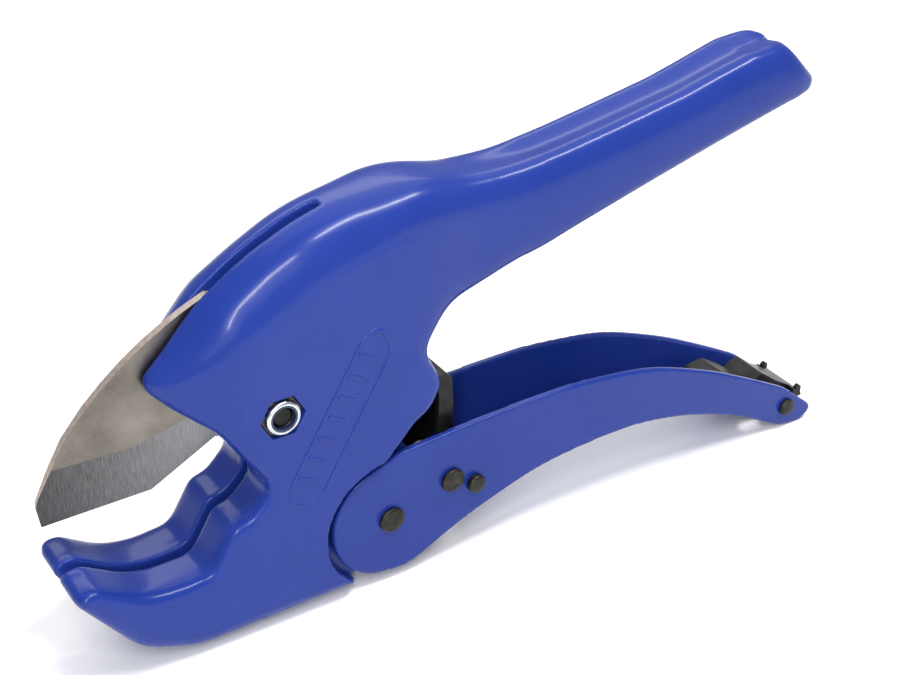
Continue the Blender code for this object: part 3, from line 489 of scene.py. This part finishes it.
class Finish:
    """A procedural finish: a Principled shader and the nodes that feed it."""

    def __init__(self, name, rough, metal=0.0):
        self.material = bpy.data.materials.new(name)
        self.material.use_nodes = True
        self.tree = self.material.node_tree
        self.shader = self.tree.nodes["Principled BSDF"]
        self.shader.inputs["Roughness"].default_value = rough
        self.shader.inputs["Metallic"].default_value = metal
        self.coords = self.tree.nodes.new("ShaderNodeTexCoord").outputs["Object"]

    def node(self, kind, links=(), **settings):
        made = self.tree.nodes.new(kind)
        for key, value in settings.items():
            if key in made.inputs:
                made.inputs[key].default_value = value
            else:
                setattr(made, key, value)
        for socket, source in dict(links).items():
            self.tree.links.new(source, made.inputs[socket])
        return made

    def turned(self, turn, stretch=(1.0, 1.0, 1.0)):
        """Object coordinates turned about Y by some degrees, then stretched."""
        spin = self.node("ShaderNodeMapping", {"Vector": self.coords},
                         Rotation=(0.0, math.radians(turn), 0.0))
        return self.node("ShaderNodeMapping", {"Vector": spin.outputs[0]}, Scale=stretch).outputs[0]

    def noise(self, scale, detail=3.0, vector=None, roughness=0.5):
        made = self.node("ShaderNodeTexNoise", {"Vector": vector or self.coords},
                         Scale=scale, Detail=detail, Roughness=roughness)
        return made.outputs["Fac"]

    def ramp(self, factor, *stops):
        made = self.node("ShaderNodeValToRGB", {"Fac": factor})
        points = made.color_ramp.elements
        while len(points) < len(stops):
            points.new(0.5)
        for point, (where, colour) in zip(points, stops):
            point.position = where
            point.color = (*colour, 1.0)
        return made.outputs["Color"]

    def maths(self, operation, *terms):
        """A Math node's result; each term is a number or another node's output."""
        made = self.node("ShaderNodeMath", operation=operation)
        for slot, term in zip(made.inputs, terms):
            if isinstance(term, float):
                slot.default_value = term
            else:
                self.tree.links.new(term, slot)
        return made.outputs[0]

    def feed(self, socket, source):
        self.tree.links.new(source, self.shader.inputs[socket])

    def vary(self, socket, factor, low, high, start=0.3, end=0.7):
        """Let a pattern move a socket between two colours or two grey values."""
        self.feed(socket, self.ramp(factor, (start, low), (end, high)))

    def bump(self, height, strength, distance):
        made = self.node("ShaderNodeBump", {"Height": height}, Strength=strength, Distance=distance)
        self.feed("Normal", made.outputs["Normal"])


def grey(value):
    return (value, value, value)


# gloss coat: fine orange peel, faint cloudiness, a clear hard surface
coat = Finish("gloss_blue_coat", 0.26)
peel = coat.noise(950.0, 2.0)
cloud = coat.noise(38.0, 4.0)
coat.vary("Base Color", cloud, (0.009, 0.028, 0.205), (0.013, 0.034, 0.230), end=0.72)
coat.vary("Roughness", coat.noise(60.0, 2.0), grey(0.25), grey(0.29))
coat.shader.inputs["Specular IOR Level"].default_value = 0.16
coat.shader.inputs["Coat Weight"].default_value = 0.16
coat.shader.inputs["Coat Roughness"].default_value = 0.10
coat.bump(peel, 0.02, 0.0003)

casting = cut(head_blank(), handle_blank(), operation="UNION")
casting.name = "coated_casting"
cast_skin(casting, 0.8)
soften(casting, 160, junction(points_of(casting)), 0.8)
soften(casting, 5)
cut(casting, *casting_cutters())
cast_skin(casting, 0.5)
soften(casting, 3)
soften(casting, 24, calm(casting, 0.10, 0.25))
trued(casting, (HEAD_HALF,))
thinned(casting, 190000)
pocket = [polar(NUT_POCKET_AF / math.sqrt(3), 60.0 * k) for k in range(6)]
cut(casting, slab("nut_pocket", pocket, -HEAD_HALF - 2.0, -7.8),
    slab("bolt_hole", circle((0, 0), PIN_HOLE_R), -20.0, 20.0),
    slab("head_seat", circle((0, 0), 8.6), HEAD_HALF - 2.2, HEAD_HALF + 2.0))
level_shading(casting)
paint(casting, coat)
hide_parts("body_casting")
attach(casting, "body")


# ==== Blade ========================================================================================
# One flat stamping of hardened steel, ground on its faces and bevelled from both to the edge. It
# turns on a bush in the head. The flats keep a warm, cloudy satin; the bevels show the wheel's fine
# scratches and a painted reflection that lightens them towards the throat. The rim is left as the
# press made it, its colour painted lighter as a highlight where the edge catches the light.
BEVEL_TILT = 0.9995

flat_steel = Finish("satin_blade_steel", 0.34, 1.0)
lay = flat_steel.turned(-38.0, (420.0, 40.0, 4600.0))
streaks = flat_steel.noise(1.0, 5.0, lay, 0.65)
stain = flat_steel.noise(62.0, 6.0, None, 0.6)
blend = flat_steel.maths("ADD", stain, flat_steel.maths("MULTIPLY", streaks, 0.30))
flat_steel.feed("Base Color", flat_steel.ramp(blend, (0.45, (0.115, 0.104, 0.086)),
                                              (0.62, (0.175, 0.160, 0.138)), (0.86, (0.250, 0.232, 0.205))))
flat_steel.vary("Roughness", streaks, grey(0.30), grey(0.44))
flat_steel.bump(streaks, 0.10, 0.0002)

ground_steel = Finish("ground_bevel_steel", 0.30, 1.0)
cross = ground_steel.noise(1.0, 5.0, ground_steel.turned(2.0, (4200.0, 60.0, 240.0)), 0.7)
# Painted reflection: the bevel's base colour runs lighter towards the throat and darker towards the tip, set by
# position along the blade.
along = ground_steel.node("ShaderNodeSeparateXYZ", {"Vector": ground_steel.coords}).outputs["X"]
share = ground_steel.node("ShaderNodeMapRange", {"Value": along}, **{"From Min": -0.108, "From Max": -0.060})
bevel_painted_sheen = ground_steel.maths("MULTIPLY_ADD", share.outputs[0], 0.55, cross)
ground_steel.feed("Base Color", ground_steel.ramp(bevel_painted_sheen, (0.35, (0.035, 0.035, 0.036)),
                                                  (0.62, (0.095, 0.095, 0.098)), (1.0, (0.24, 0.24, 0.245))))
ground_steel.vary("Roughness", cross, grey(0.24), grey(0.40))
ground_steel.bump(cross, 0.14, 0.0002)

# The rim's base colour: its own shear-cut matte steel, painted lighter as a highlight where the edge catches the
# light.
sheared_and_highlit = Finish("sheared_edge_painted_highlight", 0.42, 0.6)
sheared_and_highlit.vary("Base Color", sheared_and_highlit.noise(900.0, 4.0), (0.33, 0.265, 0.235), (0.47, 0.40, 0.355))


def welded_copy(node, name):
    """A copy of a CAD node's mesh with its triangles joined up."""
    shell = bmesh.new()
    shell.from_mesh(frame["nodes"][node].data)
    bmesh.ops.remove_doubles(shell, verts=shell.verts, dist=1e-6)
    mesh = bpy.data.meshes.new(name)
    shell.to_mesh(mesh)
    shell.free()
    mesh.materials.clear()
    return add_object(name, mesh)


def chamfered(node, name, width, angle=28.0):
    """A welded copy with its flat facets joined and its edges broken by a small radius."""
    thing = welded_copy(node, name)
    shell = bmesh.new()
    shell.from_mesh(thing.data)
    bmesh.ops.dissolve_limit(shell, angle_limit=math.radians(0.6), verts=shell.verts,
                             edges=shell.edges)
    shell.to_mesh(thing.data)
    shell.free()
    edge = thing.modifiers.new("edge", "BEVEL")
    edge.width = width * MM
    edge.segments = 2
    edge.limit_method = "ANGLE"
    edge.angle_limit = math.radians(angle)
    settle(thing)
    return level_shading(thing, 40.0)


blade = chamfered("blade", "cutting_blade", 0.12)
for finish in (flat_steel, ground_steel, sheared_and_highlit):
    blade.data.materials.append(finish.material)
for facet in blade.data.polygons:
    facing = abs(facet.normal.y)
    facet.material_index = 2 if facing < 0.9 else int(facing < BEVEL_TILT)
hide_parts("blade")
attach(blade, "blade")


# ==== Pivot bolt, lock nut and washer ==============================================================
# The bolt carries the blade on a bush. Its zinc lock nut sits in a hexagonal pocket in the near
# flank, and its rolled collar holds a nylon ring; head and washer are on the far side.
zinc = Finish("bright_zinc", 0.24, 1.0)
spangle = zinc.noise(900.0, 3.0)
zinc.vary("Base Color", zinc.noise(260.0, 2.0), (0.50, 0.54, 0.57), (0.74, 0.78, 0.80))
zinc.vary("Roughness", spangle, grey(0.18), grey(0.32))
zinc.bump(spangle, 0.02, 0.0002)

# The bolt's near end, seen down inside the nut's collar, is painted near-black as painted shade of that hole.
bolt_end_painted_shade = Finish("bolt_end_painted_shade_steel", 0.5, 0.8)
bolt_end_painted_shade.vary("Base Color", bolt_end_painted_shade.noise(700.0), grey(0.012), grey(0.03))
bolt_end_painted_shade.bump(bolt_end_painted_shade.noise(1800.0), 0.3, 0.0002)

nylon = Finish("blue_nylon", 0.45)
nylon.vary("Base Color", nylon.noise(400.0), (0.010, 0.016, 0.045), (0.016, 0.026, 0.075))
nylon.bump(nylon.noise(1500.0), 0.08, 0.0002)


def lathe(name, profile, segments=72):
    """A closed turned ring about the blade's hinge, from (radius, y) points in millimetres."""
    shell = bmesh.new()
    rings = []
    for radius, y in profile:
        ring = []
        for k in range(segments):
            a = 2 * math.pi * k / segments
            ring.append(shell.verts.new(tool_point(radius * math.cos(a), y, radius * math.sin(a))))
        rings.append(ring)
    for low, high in zip(rings, rings[1:] + rings[:1]):
        for k in range(segments):
            j = (k + 1) % segments
            shell.faces.new((low[k], low[j], high[j], high[k]))
    bmesh.ops.recalc_face_normals(shell, faces=shell.faces)
    mesh = bpy.data.meshes.new(name)
    shell.to_mesh(mesh)
    shell.free()
    mesh.shade_smooth()
    mesh.set_sharp_from_angle(angle=math.radians(38))
    return add_object(name, mesh)


nut_low, nut_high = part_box("pivot_nut")
NUT_TOP = nut_low[1] / MM
NUT_AF = (nut_high[2] - nut_low[2]) / MM
COLLAR_OUT = NUT_AF / 2 - 0.40
COLLAR_IN = 2.95
COLLAR_CROWN = 0.62
LIP = (COLLAR_OUT - COLLAR_IN) / 2
profile = [(COLLAR_IN, NUT_TOP + 2.6)]
for k in range(9):
    a = math.pi * k / 8
    crown = COLLAR_CROWN - COLLAR_CROWN * math.sin(a)
    profile.append((COLLAR_IN + LIP - LIP * math.cos(a), NUT_TOP + crown))
profile.append((COLLAR_OUT + 0.02, NUT_TOP + 2.2))
collar = lathe("nut_collar", profile)
collar.data.materials.append(zinc.material)
# The lock nut's hex body below the collar is painted dark brown: partly oily grease, partly painted shade of the
# pocket it sits in.
grease_and_pocket_shade = Finish("zinc_grease_and_painted_shade", 0.34, 0.8)
grease_and_pocket_shade.vary("Base Color", grease_and_pocket_shade.noise(500.0), (0.030, 0.024, 0.020), (0.085, 0.072, 0.062))
nut = chamfered("pivot_nut", "lock_nut", 0.25, 50.0)
paint(nut, grease_and_pocket_shade)
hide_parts("pivot_nut")
for piece in (nut, collar):
    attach(piece, "body")

for node, finish in (("bolt_washer", zinc), ("nut_ring", nylon)):
    frame["nodes"][node].data.materials.clear()
    frame["nodes"][node].data.materials.append(finish.material)
bolt = chamfered("pivot_bolt", "hex_bolt", 0.3, 50.0)
bolt.data.materials.append(zinc.material)
bolt.data.materials.append(bolt_end_painted_shade.material)
# Faces on the near side of the bolt take the painted shade; the far side keeps its zinc.
for facet in bolt.data.polygons:
    facet.material_index = int(facet.center.y < 0.0)
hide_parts("pivot_bolt")
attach(bolt, "body")


# ==== Lever ========================================================================================
# The squeeze lever is folded from 2 mm steel sheet: two side plates and a floor that ties them.
# It has the body's coat, so its blanked edges are slightly rounded and catch the light.
LEVER_HALF = 11.5
SHEET = 2.0
px, pz = LEVER_AXIS
tip = px + LEVER_LENGTH
inside = [(px + 27.0, pz - 4.0, 8.0), (px + 44.0, pz + 1.7, 60.0), (px + 58.0, pz + 2.9, 60.0),
          (px + 72.0, pz + 2.8, 60.0),
          (px + 91.0, pz - 0.3, 60.0), (px + 109.0, pz - 6.6, 60.0), (tip - 20.5, pz - 11.6, 3.0),
          (tip - 18.0, pz - 30.0, 0), (tip + 10.0, pz - 30.0, 0), (tip + 10.0, pz + 40.0, 0),
          (px - 40.0, pz + 40.0, 0), (px - 40.0, pz - 40.0, 0), (px + 27.0, pz - 40.0, 0)]
lever = slab("folded_lever", lever_side(), -LEVER_HALF, LEVER_HALF)
cut(lever, slab("lever_inside", rounded(inside), SHEET - LEVER_HALF, LEVER_HALF - SHEET))
cast_skin(lever, 0.42)
soften(lever, 4)
trued(lever, (LEVER_HALF, LEVER_HALF - SHEET))
thinned(lever, 150000)
level_shading(lever)
paint(lever, coat)
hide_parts("lever")
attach(lever, "lever")


# ==== Rivets =======================================================================================
# Four black-oxide steel rivets cross the lever: its hinge, the pawl's, the spring's and the latch's.
# The heads are flat domes with a rolled rim; the finish is rubbed thin where hands and cloths pass.
black = Finish("black_oxide", 0.36, 0.75)
rub = black.noise(420.0, 6.0, None, 0.7)
black.feed("Base Color", black.ramp(rub, (0.42, (0.014, 0.013, 0.011)), (0.62, (0.040, 0.037, 0.028)),
                                    (0.80, (0.105, 0.098, 0.078))))
black.vary("Roughness", rub, grey(0.30), grey(0.50), end=0.75)
black.bump(black.noise(1300.0, 4.0), 0.18, 0.0002)

rivet_nodes = ("lever_rivet", "pawl_rivet", "spring_anchor_rivet", "latch_rivet")


def open_tree(name, sizes, vectors=()):
    """A Geometry Nodes tree whose inputs are named sizes, named vectors and a finish."""
    tree = bpy.data.node_groups.new(name, "GeometryNodeTree")
    tree.is_modifier = True
    tree.interface.new_socket("Geometry", in_out="INPUT", socket_type="NodeSocketGeometry")
    for label in sizes:
        tree.interface.new_socket(label, in_out="INPUT", socket_type="NodeSocketFloat")
    for label in vectors:
        tree.interface.new_socket(label, in_out="INPUT", socket_type="NodeSocketVector")
    tree.interface.new_socket("Finish", in_out="INPUT", socket_type="NodeSocketMaterial")
    tree.interface.new_socket("Geometry", in_out="OUTPUT", socket_type="NodeSocketGeometry")
    return tree, tree.nodes.new("NodeGroupInput")


def close_tree(tree, source, shape):
    """End a tree: its instances made real and given the finish."""
    n, link = tree.nodes.new, tree.links.new
    real, dressed = n("GeometryNodeRealizeInstances"), n("GeometryNodeSetMaterial")
    sink = n("NodeGroupOutput")
    link(shape, real.inputs[0])
    link(real.outputs[0], dressed.inputs["Geometry"])
    link(source.outputs["Finish"], dressed.inputs["Material"])
    link(dressed.outputs[0], sink.inputs["Geometry"])
    return tree


def grow(thing, tree, finish, **sizes):
    """Run a tree on a piece with the given inputs and keep the result as its mesh."""
    maker = thing.modifiers.new("maker", "NODES")
    maker.node_group = tree
    given = {label.replace("_", " ").capitalize(): value for label, value in sizes.items()}
    for item in tree.interface.items_tree:
        if item.item_type == "SOCKET" and item.in_out == "INPUT" and item.name in given:
            maker[item.identifier] = given[item.name]
        if item.name == "Finish":
            maker[item.identifier] = finish.material
    return settle(thing)


def rivet_tree():
    """Geometry: at each point a domed head or a shank of the point's own size and turn."""
    tree, source = open_tree("rivet_heads", ("Head height",))
    n, link = tree.nodes.new, tree.links.new
    line = n("GeometryNodeCurvePrimitiveLine")
    height = n("ShaderNodeCombineXYZ")
    link(source.outputs["Head height"], height.inputs["Z"])
    link(height.outputs[0], line.inputs["End"])
    steps = n("GeometryNodeResampleCurve")
    steps.inputs["Count"].default_value = 14
    link(line.outputs[0], steps.inputs["Curve"])
    share = n("GeometryNodeSplineParameter")
    bow = n("ShaderNodeFloatCurve")
    curve = bow.mapping.curves[0]
    for x, y in ((0.35, 1.0), (0.62, 0.985), (0.84, 0.93)):
        curve.points.new(x, y)
    curve.points[0].location = (0.0, 1.0)
    curve.points[-1].location = (1.0, 0.80)
    bow.mapping.update()
    link(share.outputs["Factor"], bow.inputs["Value"])
    swell = n("GeometryNodeSetCurveRadius")
    link(steps.outputs[0], swell.inputs["Curve"])
    link(bow.outputs[0], swell.inputs["Radius"])
    round_ = n("GeometryNodeCurvePrimitiveCircle")
    round_.inputs["Resolution"].default_value = 48
    round_.inputs["Radius"].default_value = 1.0
    body = n("GeometryNodeCurveToMesh")
    body.inputs["Fill Caps"].default_value = True
    if "Scale" in body.inputs:
        link(bow.outputs[0], body.inputs["Scale"])
    link(swell.outputs[0], body.inputs["Curve"])
    link(round_.outputs[0], body.inputs["Profile Curve"])
    smooth = n("GeometryNodeSetShadeSmooth")
    link(body.outputs[0], smooth.inputs[0])
    spread = n("GeometryNodeInstanceOnPoints")
    link(source.outputs["Geometry"], spread.inputs["Points"])
    shank = n("GeometryNodeMeshCylinder")
    shank.inputs["Vertices"].default_value = 40
    shank.inputs["Radius"].default_value = 1.0
    shank.inputs["Depth"].default_value = 1.0
    shapes = n("GeometryNodeGeometryToInstance")
    link(shank.outputs["Mesh"], shapes.inputs[0])
    link(smooth.outputs[0], shapes.inputs[0])
    link(shapes.outputs[0], spread.inputs["Instance"])
    spread.inputs["Pick Instance"].default_value = True
    which = n("GeometryNodeInputNamedAttribute")
    which.data_type = "INT"
    which.inputs["Name"].default_value = "shape"
    link(which.outputs["Attribute"], spread.inputs["Instance Index"])
    size = n("GeometryNodeInputNamedAttribute")
    size.data_type = "FLOAT_VECTOR"
    size.inputs["Name"].default_value = "head_size"
    link(size.outputs["Attribute"], spread.inputs["Scale"])
    turn = n("GeometryNodeInputNamedAttribute")
    turn.data_type = "FLOAT_VECTOR"
    turn.inputs["Name"].default_value = "head_turn"
    angle = n("FunctionNodeEulerToRotation")
    link(turn.outputs["Attribute"], angle.inputs[0])
    link(angle.outputs[0], spread.inputs["Rotation"])
    return close_tree(tree, source, spread.outputs[0])


HEAD_SHAPE, SHANK_SHAPE = 0, 1
spots, sizes, turns, shapes = [], [], [], []
plate_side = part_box("lever")[1][1]
for node, shank in zip(rivet_nodes, (2.5, 2.2, 1.4, 1.5)):
    low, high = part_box(node)
    centre = (Vector(low) + Vector(high)) / 2
    radius = (high[0] - low[0]) / 2
    base = plate_side + 0.3 * MM
    for side in (-1, 1):
        spots.append((centre.x, side * base, centre.z))
        sizes.append((radius, radius, (high[1] - base) / MM))
        turns.append((-side * math.pi / 2, 0.0, 0.0))
        shapes.append(HEAD_SHAPE)
    spots.append(tuple(centre))
    sizes.append((shank * MM, shank * MM, 2 * base))
    turns.append((math.pi / 2, 0.0, 0.0))
    shapes.append(SHANK_SHAPE)
mesh = bpy.data.meshes.new("lever_rivets")
mesh.from_pydata(spots, [], [])
for label, values in (("head_size", sizes), ("head_turn", turns)):
    layer = mesh.attributes.new(label, "FLOAT_VECTOR", "POINT")
    layer.data.foreach_set("vector", [c for row in values for c in row])
mesh.attributes.new("shape", "INT", "POINT").data.foreach_set("value", shapes)
rivets = add_object("lever_rivets", mesh)
grow(rivets, rivet_tree(), black, head_height=1.0 * MM)
shell = bmesh.new()
shell.from_mesh(rivets.data)
bmesh.ops.remove_doubles(shell, verts=shell.verts, dist=1e-6)
bmesh.ops.recalc_face_normals(shell, faces=shell.faces)
shell.to_mesh(rivets.data)
shell.free()
rivets.data.shade_smooth()
rivets.data.set_sharp_from_angle(angle=math.radians(40))
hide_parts(*rivet_nodes)
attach(rivets, "lever")


# ==== Pawl, latch and their small parts ============================================================
# Pawl and latch are folded from black-oxide sheet. Plain steel tubes and washers keep them central,
# and two coil springs of oiled wire push the lever open and the pawl onto the ratchet.
phosphate = Finish("phosphate_black", 0.38, 0.3)
phosphate.vary("Base Color", phosphate.noise(300.0, 5.0, None, 0.65), grey(0.006), grey(0.022), 0.35, 0.72)
phosphate.vary("Roughness", phosphate.noise(160.0), grey(0.30), grey(0.44))
phosphate.shader.inputs["Specular IOR Level"].default_value = 0.25
phosphate.bump(phosphate.noise(1500.0, 4.0), 0.12, 0.0002)
for node, name, body, edge in (("pawl", "ratchet_pawl", "pawl", 0.3),
                               ("latch", "storage_latch", "latch", 0.25)):
    made = chamfered(node, name, edge, 35.0)
    paint(made, phosphate)
    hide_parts(node)
    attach(made, body)

plain = Finish("turned_steel", 0.32, 1.0)
rings = plain.noise(1.0, 3.0, plain.turned(0.0, (300.0, 5000.0, 300.0)))
plain.vary("Base Color", plain.noise(200.0), grey(0.34), grey(0.50))
plain.vary("Roughness", rings, grey(0.25), grey(0.45))
plain.bump(rings, 0.1, 0.0002)
wire = Finish("oiled_wire", 0.30, 1.0)
wire.vary("Base Color", wire.noise(500.0), (0.10, 0.095, 0.085), (0.20, 0.19, 0.17))
wire.bump(wire.noise(1600.0), 0.1, 0.0002)
finishes = {"bright_steel": plain, "spring_steel": wire}
for entry in frame["record"]["subparts"]:
    if entry["material_slot"] in finishes:
        slots = frame["nodes"][entry["node"]].data.materials
        slots.clear()
        slots.append(finishes[entry["material_slot"]].material)


# ==== Size panel ===================================================================================
# A shallow raised rim, long and rounded, is cast on each flank beside the lever, in the same metal
# and coat. Seven plain short bars stand across the field inside it.
RIM = ((0.7, -22.5), (2.7, -26.0), (8.5, -24.6), (26.6, 6.2), (27.5, 9.8), (25.5, 14.4), (22.7, 15.2),
       (20.2, 13.0), (0.6, -19.6))
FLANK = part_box("body_casting")[0][1]


def rim_tree():
    """Geometry: a closed path rounded at its corners and swept with a round bead."""
    tree, source = open_tree("panel_rim", ("Corner radius", "Bead radius"))
    n, link = tree.nodes.new, tree.links.new
    path = n("GeometryNodeMeshToCurve")
    link(source.outputs["Geometry"], path.inputs[0])
    corner = n("GeometryNodeFilletCurve")
    corner.inputs["Limit Radius"].default_value = True
    if hasattr(corner, "mode"):
        corner.mode = "POLY"
    if "Count" in corner.inputs:
        corner.inputs["Count"].default_value = 6
    link(path.outputs[0], corner.inputs["Curve"])
    link(source.outputs["Corner radius"], corner.inputs["Radius"])
    bead = n("GeometryNodeCurvePrimitiveCircle")
    bead.inputs["Resolution"].default_value = 12
    link(source.outputs["Bead radius"], bead.inputs["Radius"])
    sweep = n("GeometryNodeCurveToMesh")
    link(corner.outputs[0], sweep.inputs["Curve"])
    link(bead.outputs[0], sweep.inputs["Profile Curve"])
    smooth = n("GeometryNodeSetShadeSmooth")
    link(sweep.outputs[0], smooth.inputs[0])
    return close_tree(tree, source, smooth.outputs[0])


def on_flank(name, points, y, joined):
    """A piece of bare points at a depth y in metres, joined into a ring or not."""
    made = bpy.data.meshes.new(name)
    spots = [tool_point(x, 0.0, z) + Vector((0.0, y, 0.0)) for x, z in points]
    edges = [(k, (k + 1) % len(spots)) for k in range(len(spots))] if joined else []
    made.from_pydata(spots, edges, [])
    return add_object(name, made)


def tick_tree():
    """Geometry: a raised bar at each point, turned across the panel."""
    tree, source = open_tree("panel_ticks", ("Bar length", "Bar width", "Bar height"), ("Turn",))
    n, link = tree.nodes.new, tree.links.new
    size = n("ShaderNodeCombineXYZ")
    for axis, label in zip("XYZ", ("Bar length", "Bar height", "Bar width")):
        link(source.outputs[label], size.inputs[axis])
    bar = n("GeometryNodeMeshCube")
    link(size.outputs[0], bar.inputs["Size"])
    spread = n("GeometryNodeInstanceOnPoints")
    link(source.outputs["Geometry"], spread.inputs["Points"])
    link(bar.outputs["Mesh"], spread.inputs["Instance"])
    angle = n("FunctionNodeEulerToRotation")
    link(source.outputs["Turn"], angle.inputs[0])
    link(angle.outputs[0], spread.inputs["Rotation"])
    return close_tree(tree, source, spread.outputs[0])


TICKS = [(4.9 + 2.72 * k, -18.6 + 4.55 * k) for k in range(7)]
TICK_TURN = (0.0, math.radians(31.0), 0.0)
tick_nodes = tick_tree()
for side, label in ((1, "near"), (-1, "far")):
    ticks = on_flank("panel_ticks_" + label, TICKS, side * FLANK, False)
    grow(ticks, tick_nodes, coat, bar_length=4.6 * MM, bar_width=1.1 * MM, bar_height=0.36 * MM,
         turn=TICK_TURN)
    rounding = ticks.modifiers.new("edge", "BEVEL")
    rounding.width, rounding.segments = 0.15 * MM, 2
    settle(ticks)
    level_shading(ticks)
    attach(ticks, "body")

rim_nodes = rim_tree()
for side, label in ((1, "near"), (-1, "far")):
    rim = on_flank("panel_rim_" + label, RIM, side * (FLANK + 0.22 * MM), True)
    grow(rim, rim_nodes, coat, corner_radius=3.4 * MM, bead_radius=0.5 * MM)
    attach(rim, "body")


# ==== Studio =======================================================================================
# The tool lies on a plain pale floor under soft lights: two long strips draw the streaks along the
# coat, and three broad boxes fill the rest. The camera looks along the near flank from the front.
AIM = (0.0, 0.0, 0.06)


def plain_floor():
    mesh = bpy.data.meshes.new("floor")
    mesh.from_pydata([(-3, -3, 0), (3, -3, 0), (3, 3, 0), (-3, 3, 0)], [], [(0, 1, 2, 3)])
    floor = add_object("floor", mesh)
    pale = bpy.data.materials.new("pale_floor")
    pale.use_nodes = True
    pale.node_tree.nodes["Principled BSDF"].inputs["Base Color"].default_value = (0.93, 0.93, 0.93, 1.0)
    pale.node_tree.nodes["Principled BSDF"].inputs["Roughness"].default_value = 0.9
    mesh.materials.append(pale)
    floor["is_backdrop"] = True


def strip(name, start, end, width, power):
    """A long softbox between two points, turned to face the tool."""
    start, end = Vector(start), Vector(end)
    middle = (start + end) / 2
    box = softbox(name, middle, AIM, ((end - start).length, width), power)
    back = (middle - Vector(AIM)).normalized()
    across = back.cross(end - start).normalized()
    box.rotation_euler = Matrix((across.cross(back), across, back)).transposed().to_euler()


def softbox(name, place, aim, size, power):
    lamp = bpy.data.lights.new(name, "AREA")
    lamp.shape = "RECTANGLE"
    lamp.size, lamp.size_y = size
    lamp.energy = power
    box = bpy.data.objects.new(name, lamp)
    box.location = place
    box.rotation_euler = (Vector(aim) - Vector(place)).to_track_quat("-Z", "Y").to_euler()
    bpy.context.scene.collection.objects.link(box)
    return box


plain_floor()
strip("front_strip", (-0.44, -0.52, 0.36), (-0.22, -0.38, 0.66), 0.05, 2.6)
strip("overhead_strip", (-0.10, -0.30, 0.76), (0.42, -0.05, 0.78), 0.07, 6.0)
softbox("floor_wash", (0.3, 1.3, 1.0), (0.3, 1.6, 0.0), (1.5, 0.8), 14.0)
softbox("front_fill", (-0.55, -0.9, 0.55), AIM, (0.7, 0.7), 2.6)
softbox("top_bank", (0.15, 0.45, 1.0), AIM, (1.0, 0.8), 2.5)

scene = bpy.context.scene
scene.world = bpy.data.worlds.new("studio")
scene.world.use_nodes = True
sky = scene.world.node_tree.nodes["Background"]
sky.inputs["Color"].default_value = (1.0, 1.0, 1.0, 1.0)
sky.inputs["Strength"].default_value = 0.40
scene.view_settings.view_transform = "Standard"

lens = bpy.data.cameras.new("camera")
lens.sensor_width = 36.0
lens.lens = 67.52
camera = bpy.data.objects.new("camera", lens)
camera.location = BLADE_HINGE + Vector((-0.13233, -0.29334, 0.20475))
camera.rotation_euler = (math.radians(59.102), 0.0, math.radians(-32.021))
scene.collection.objects.link(camera)
scene.camera = camera

low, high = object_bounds()
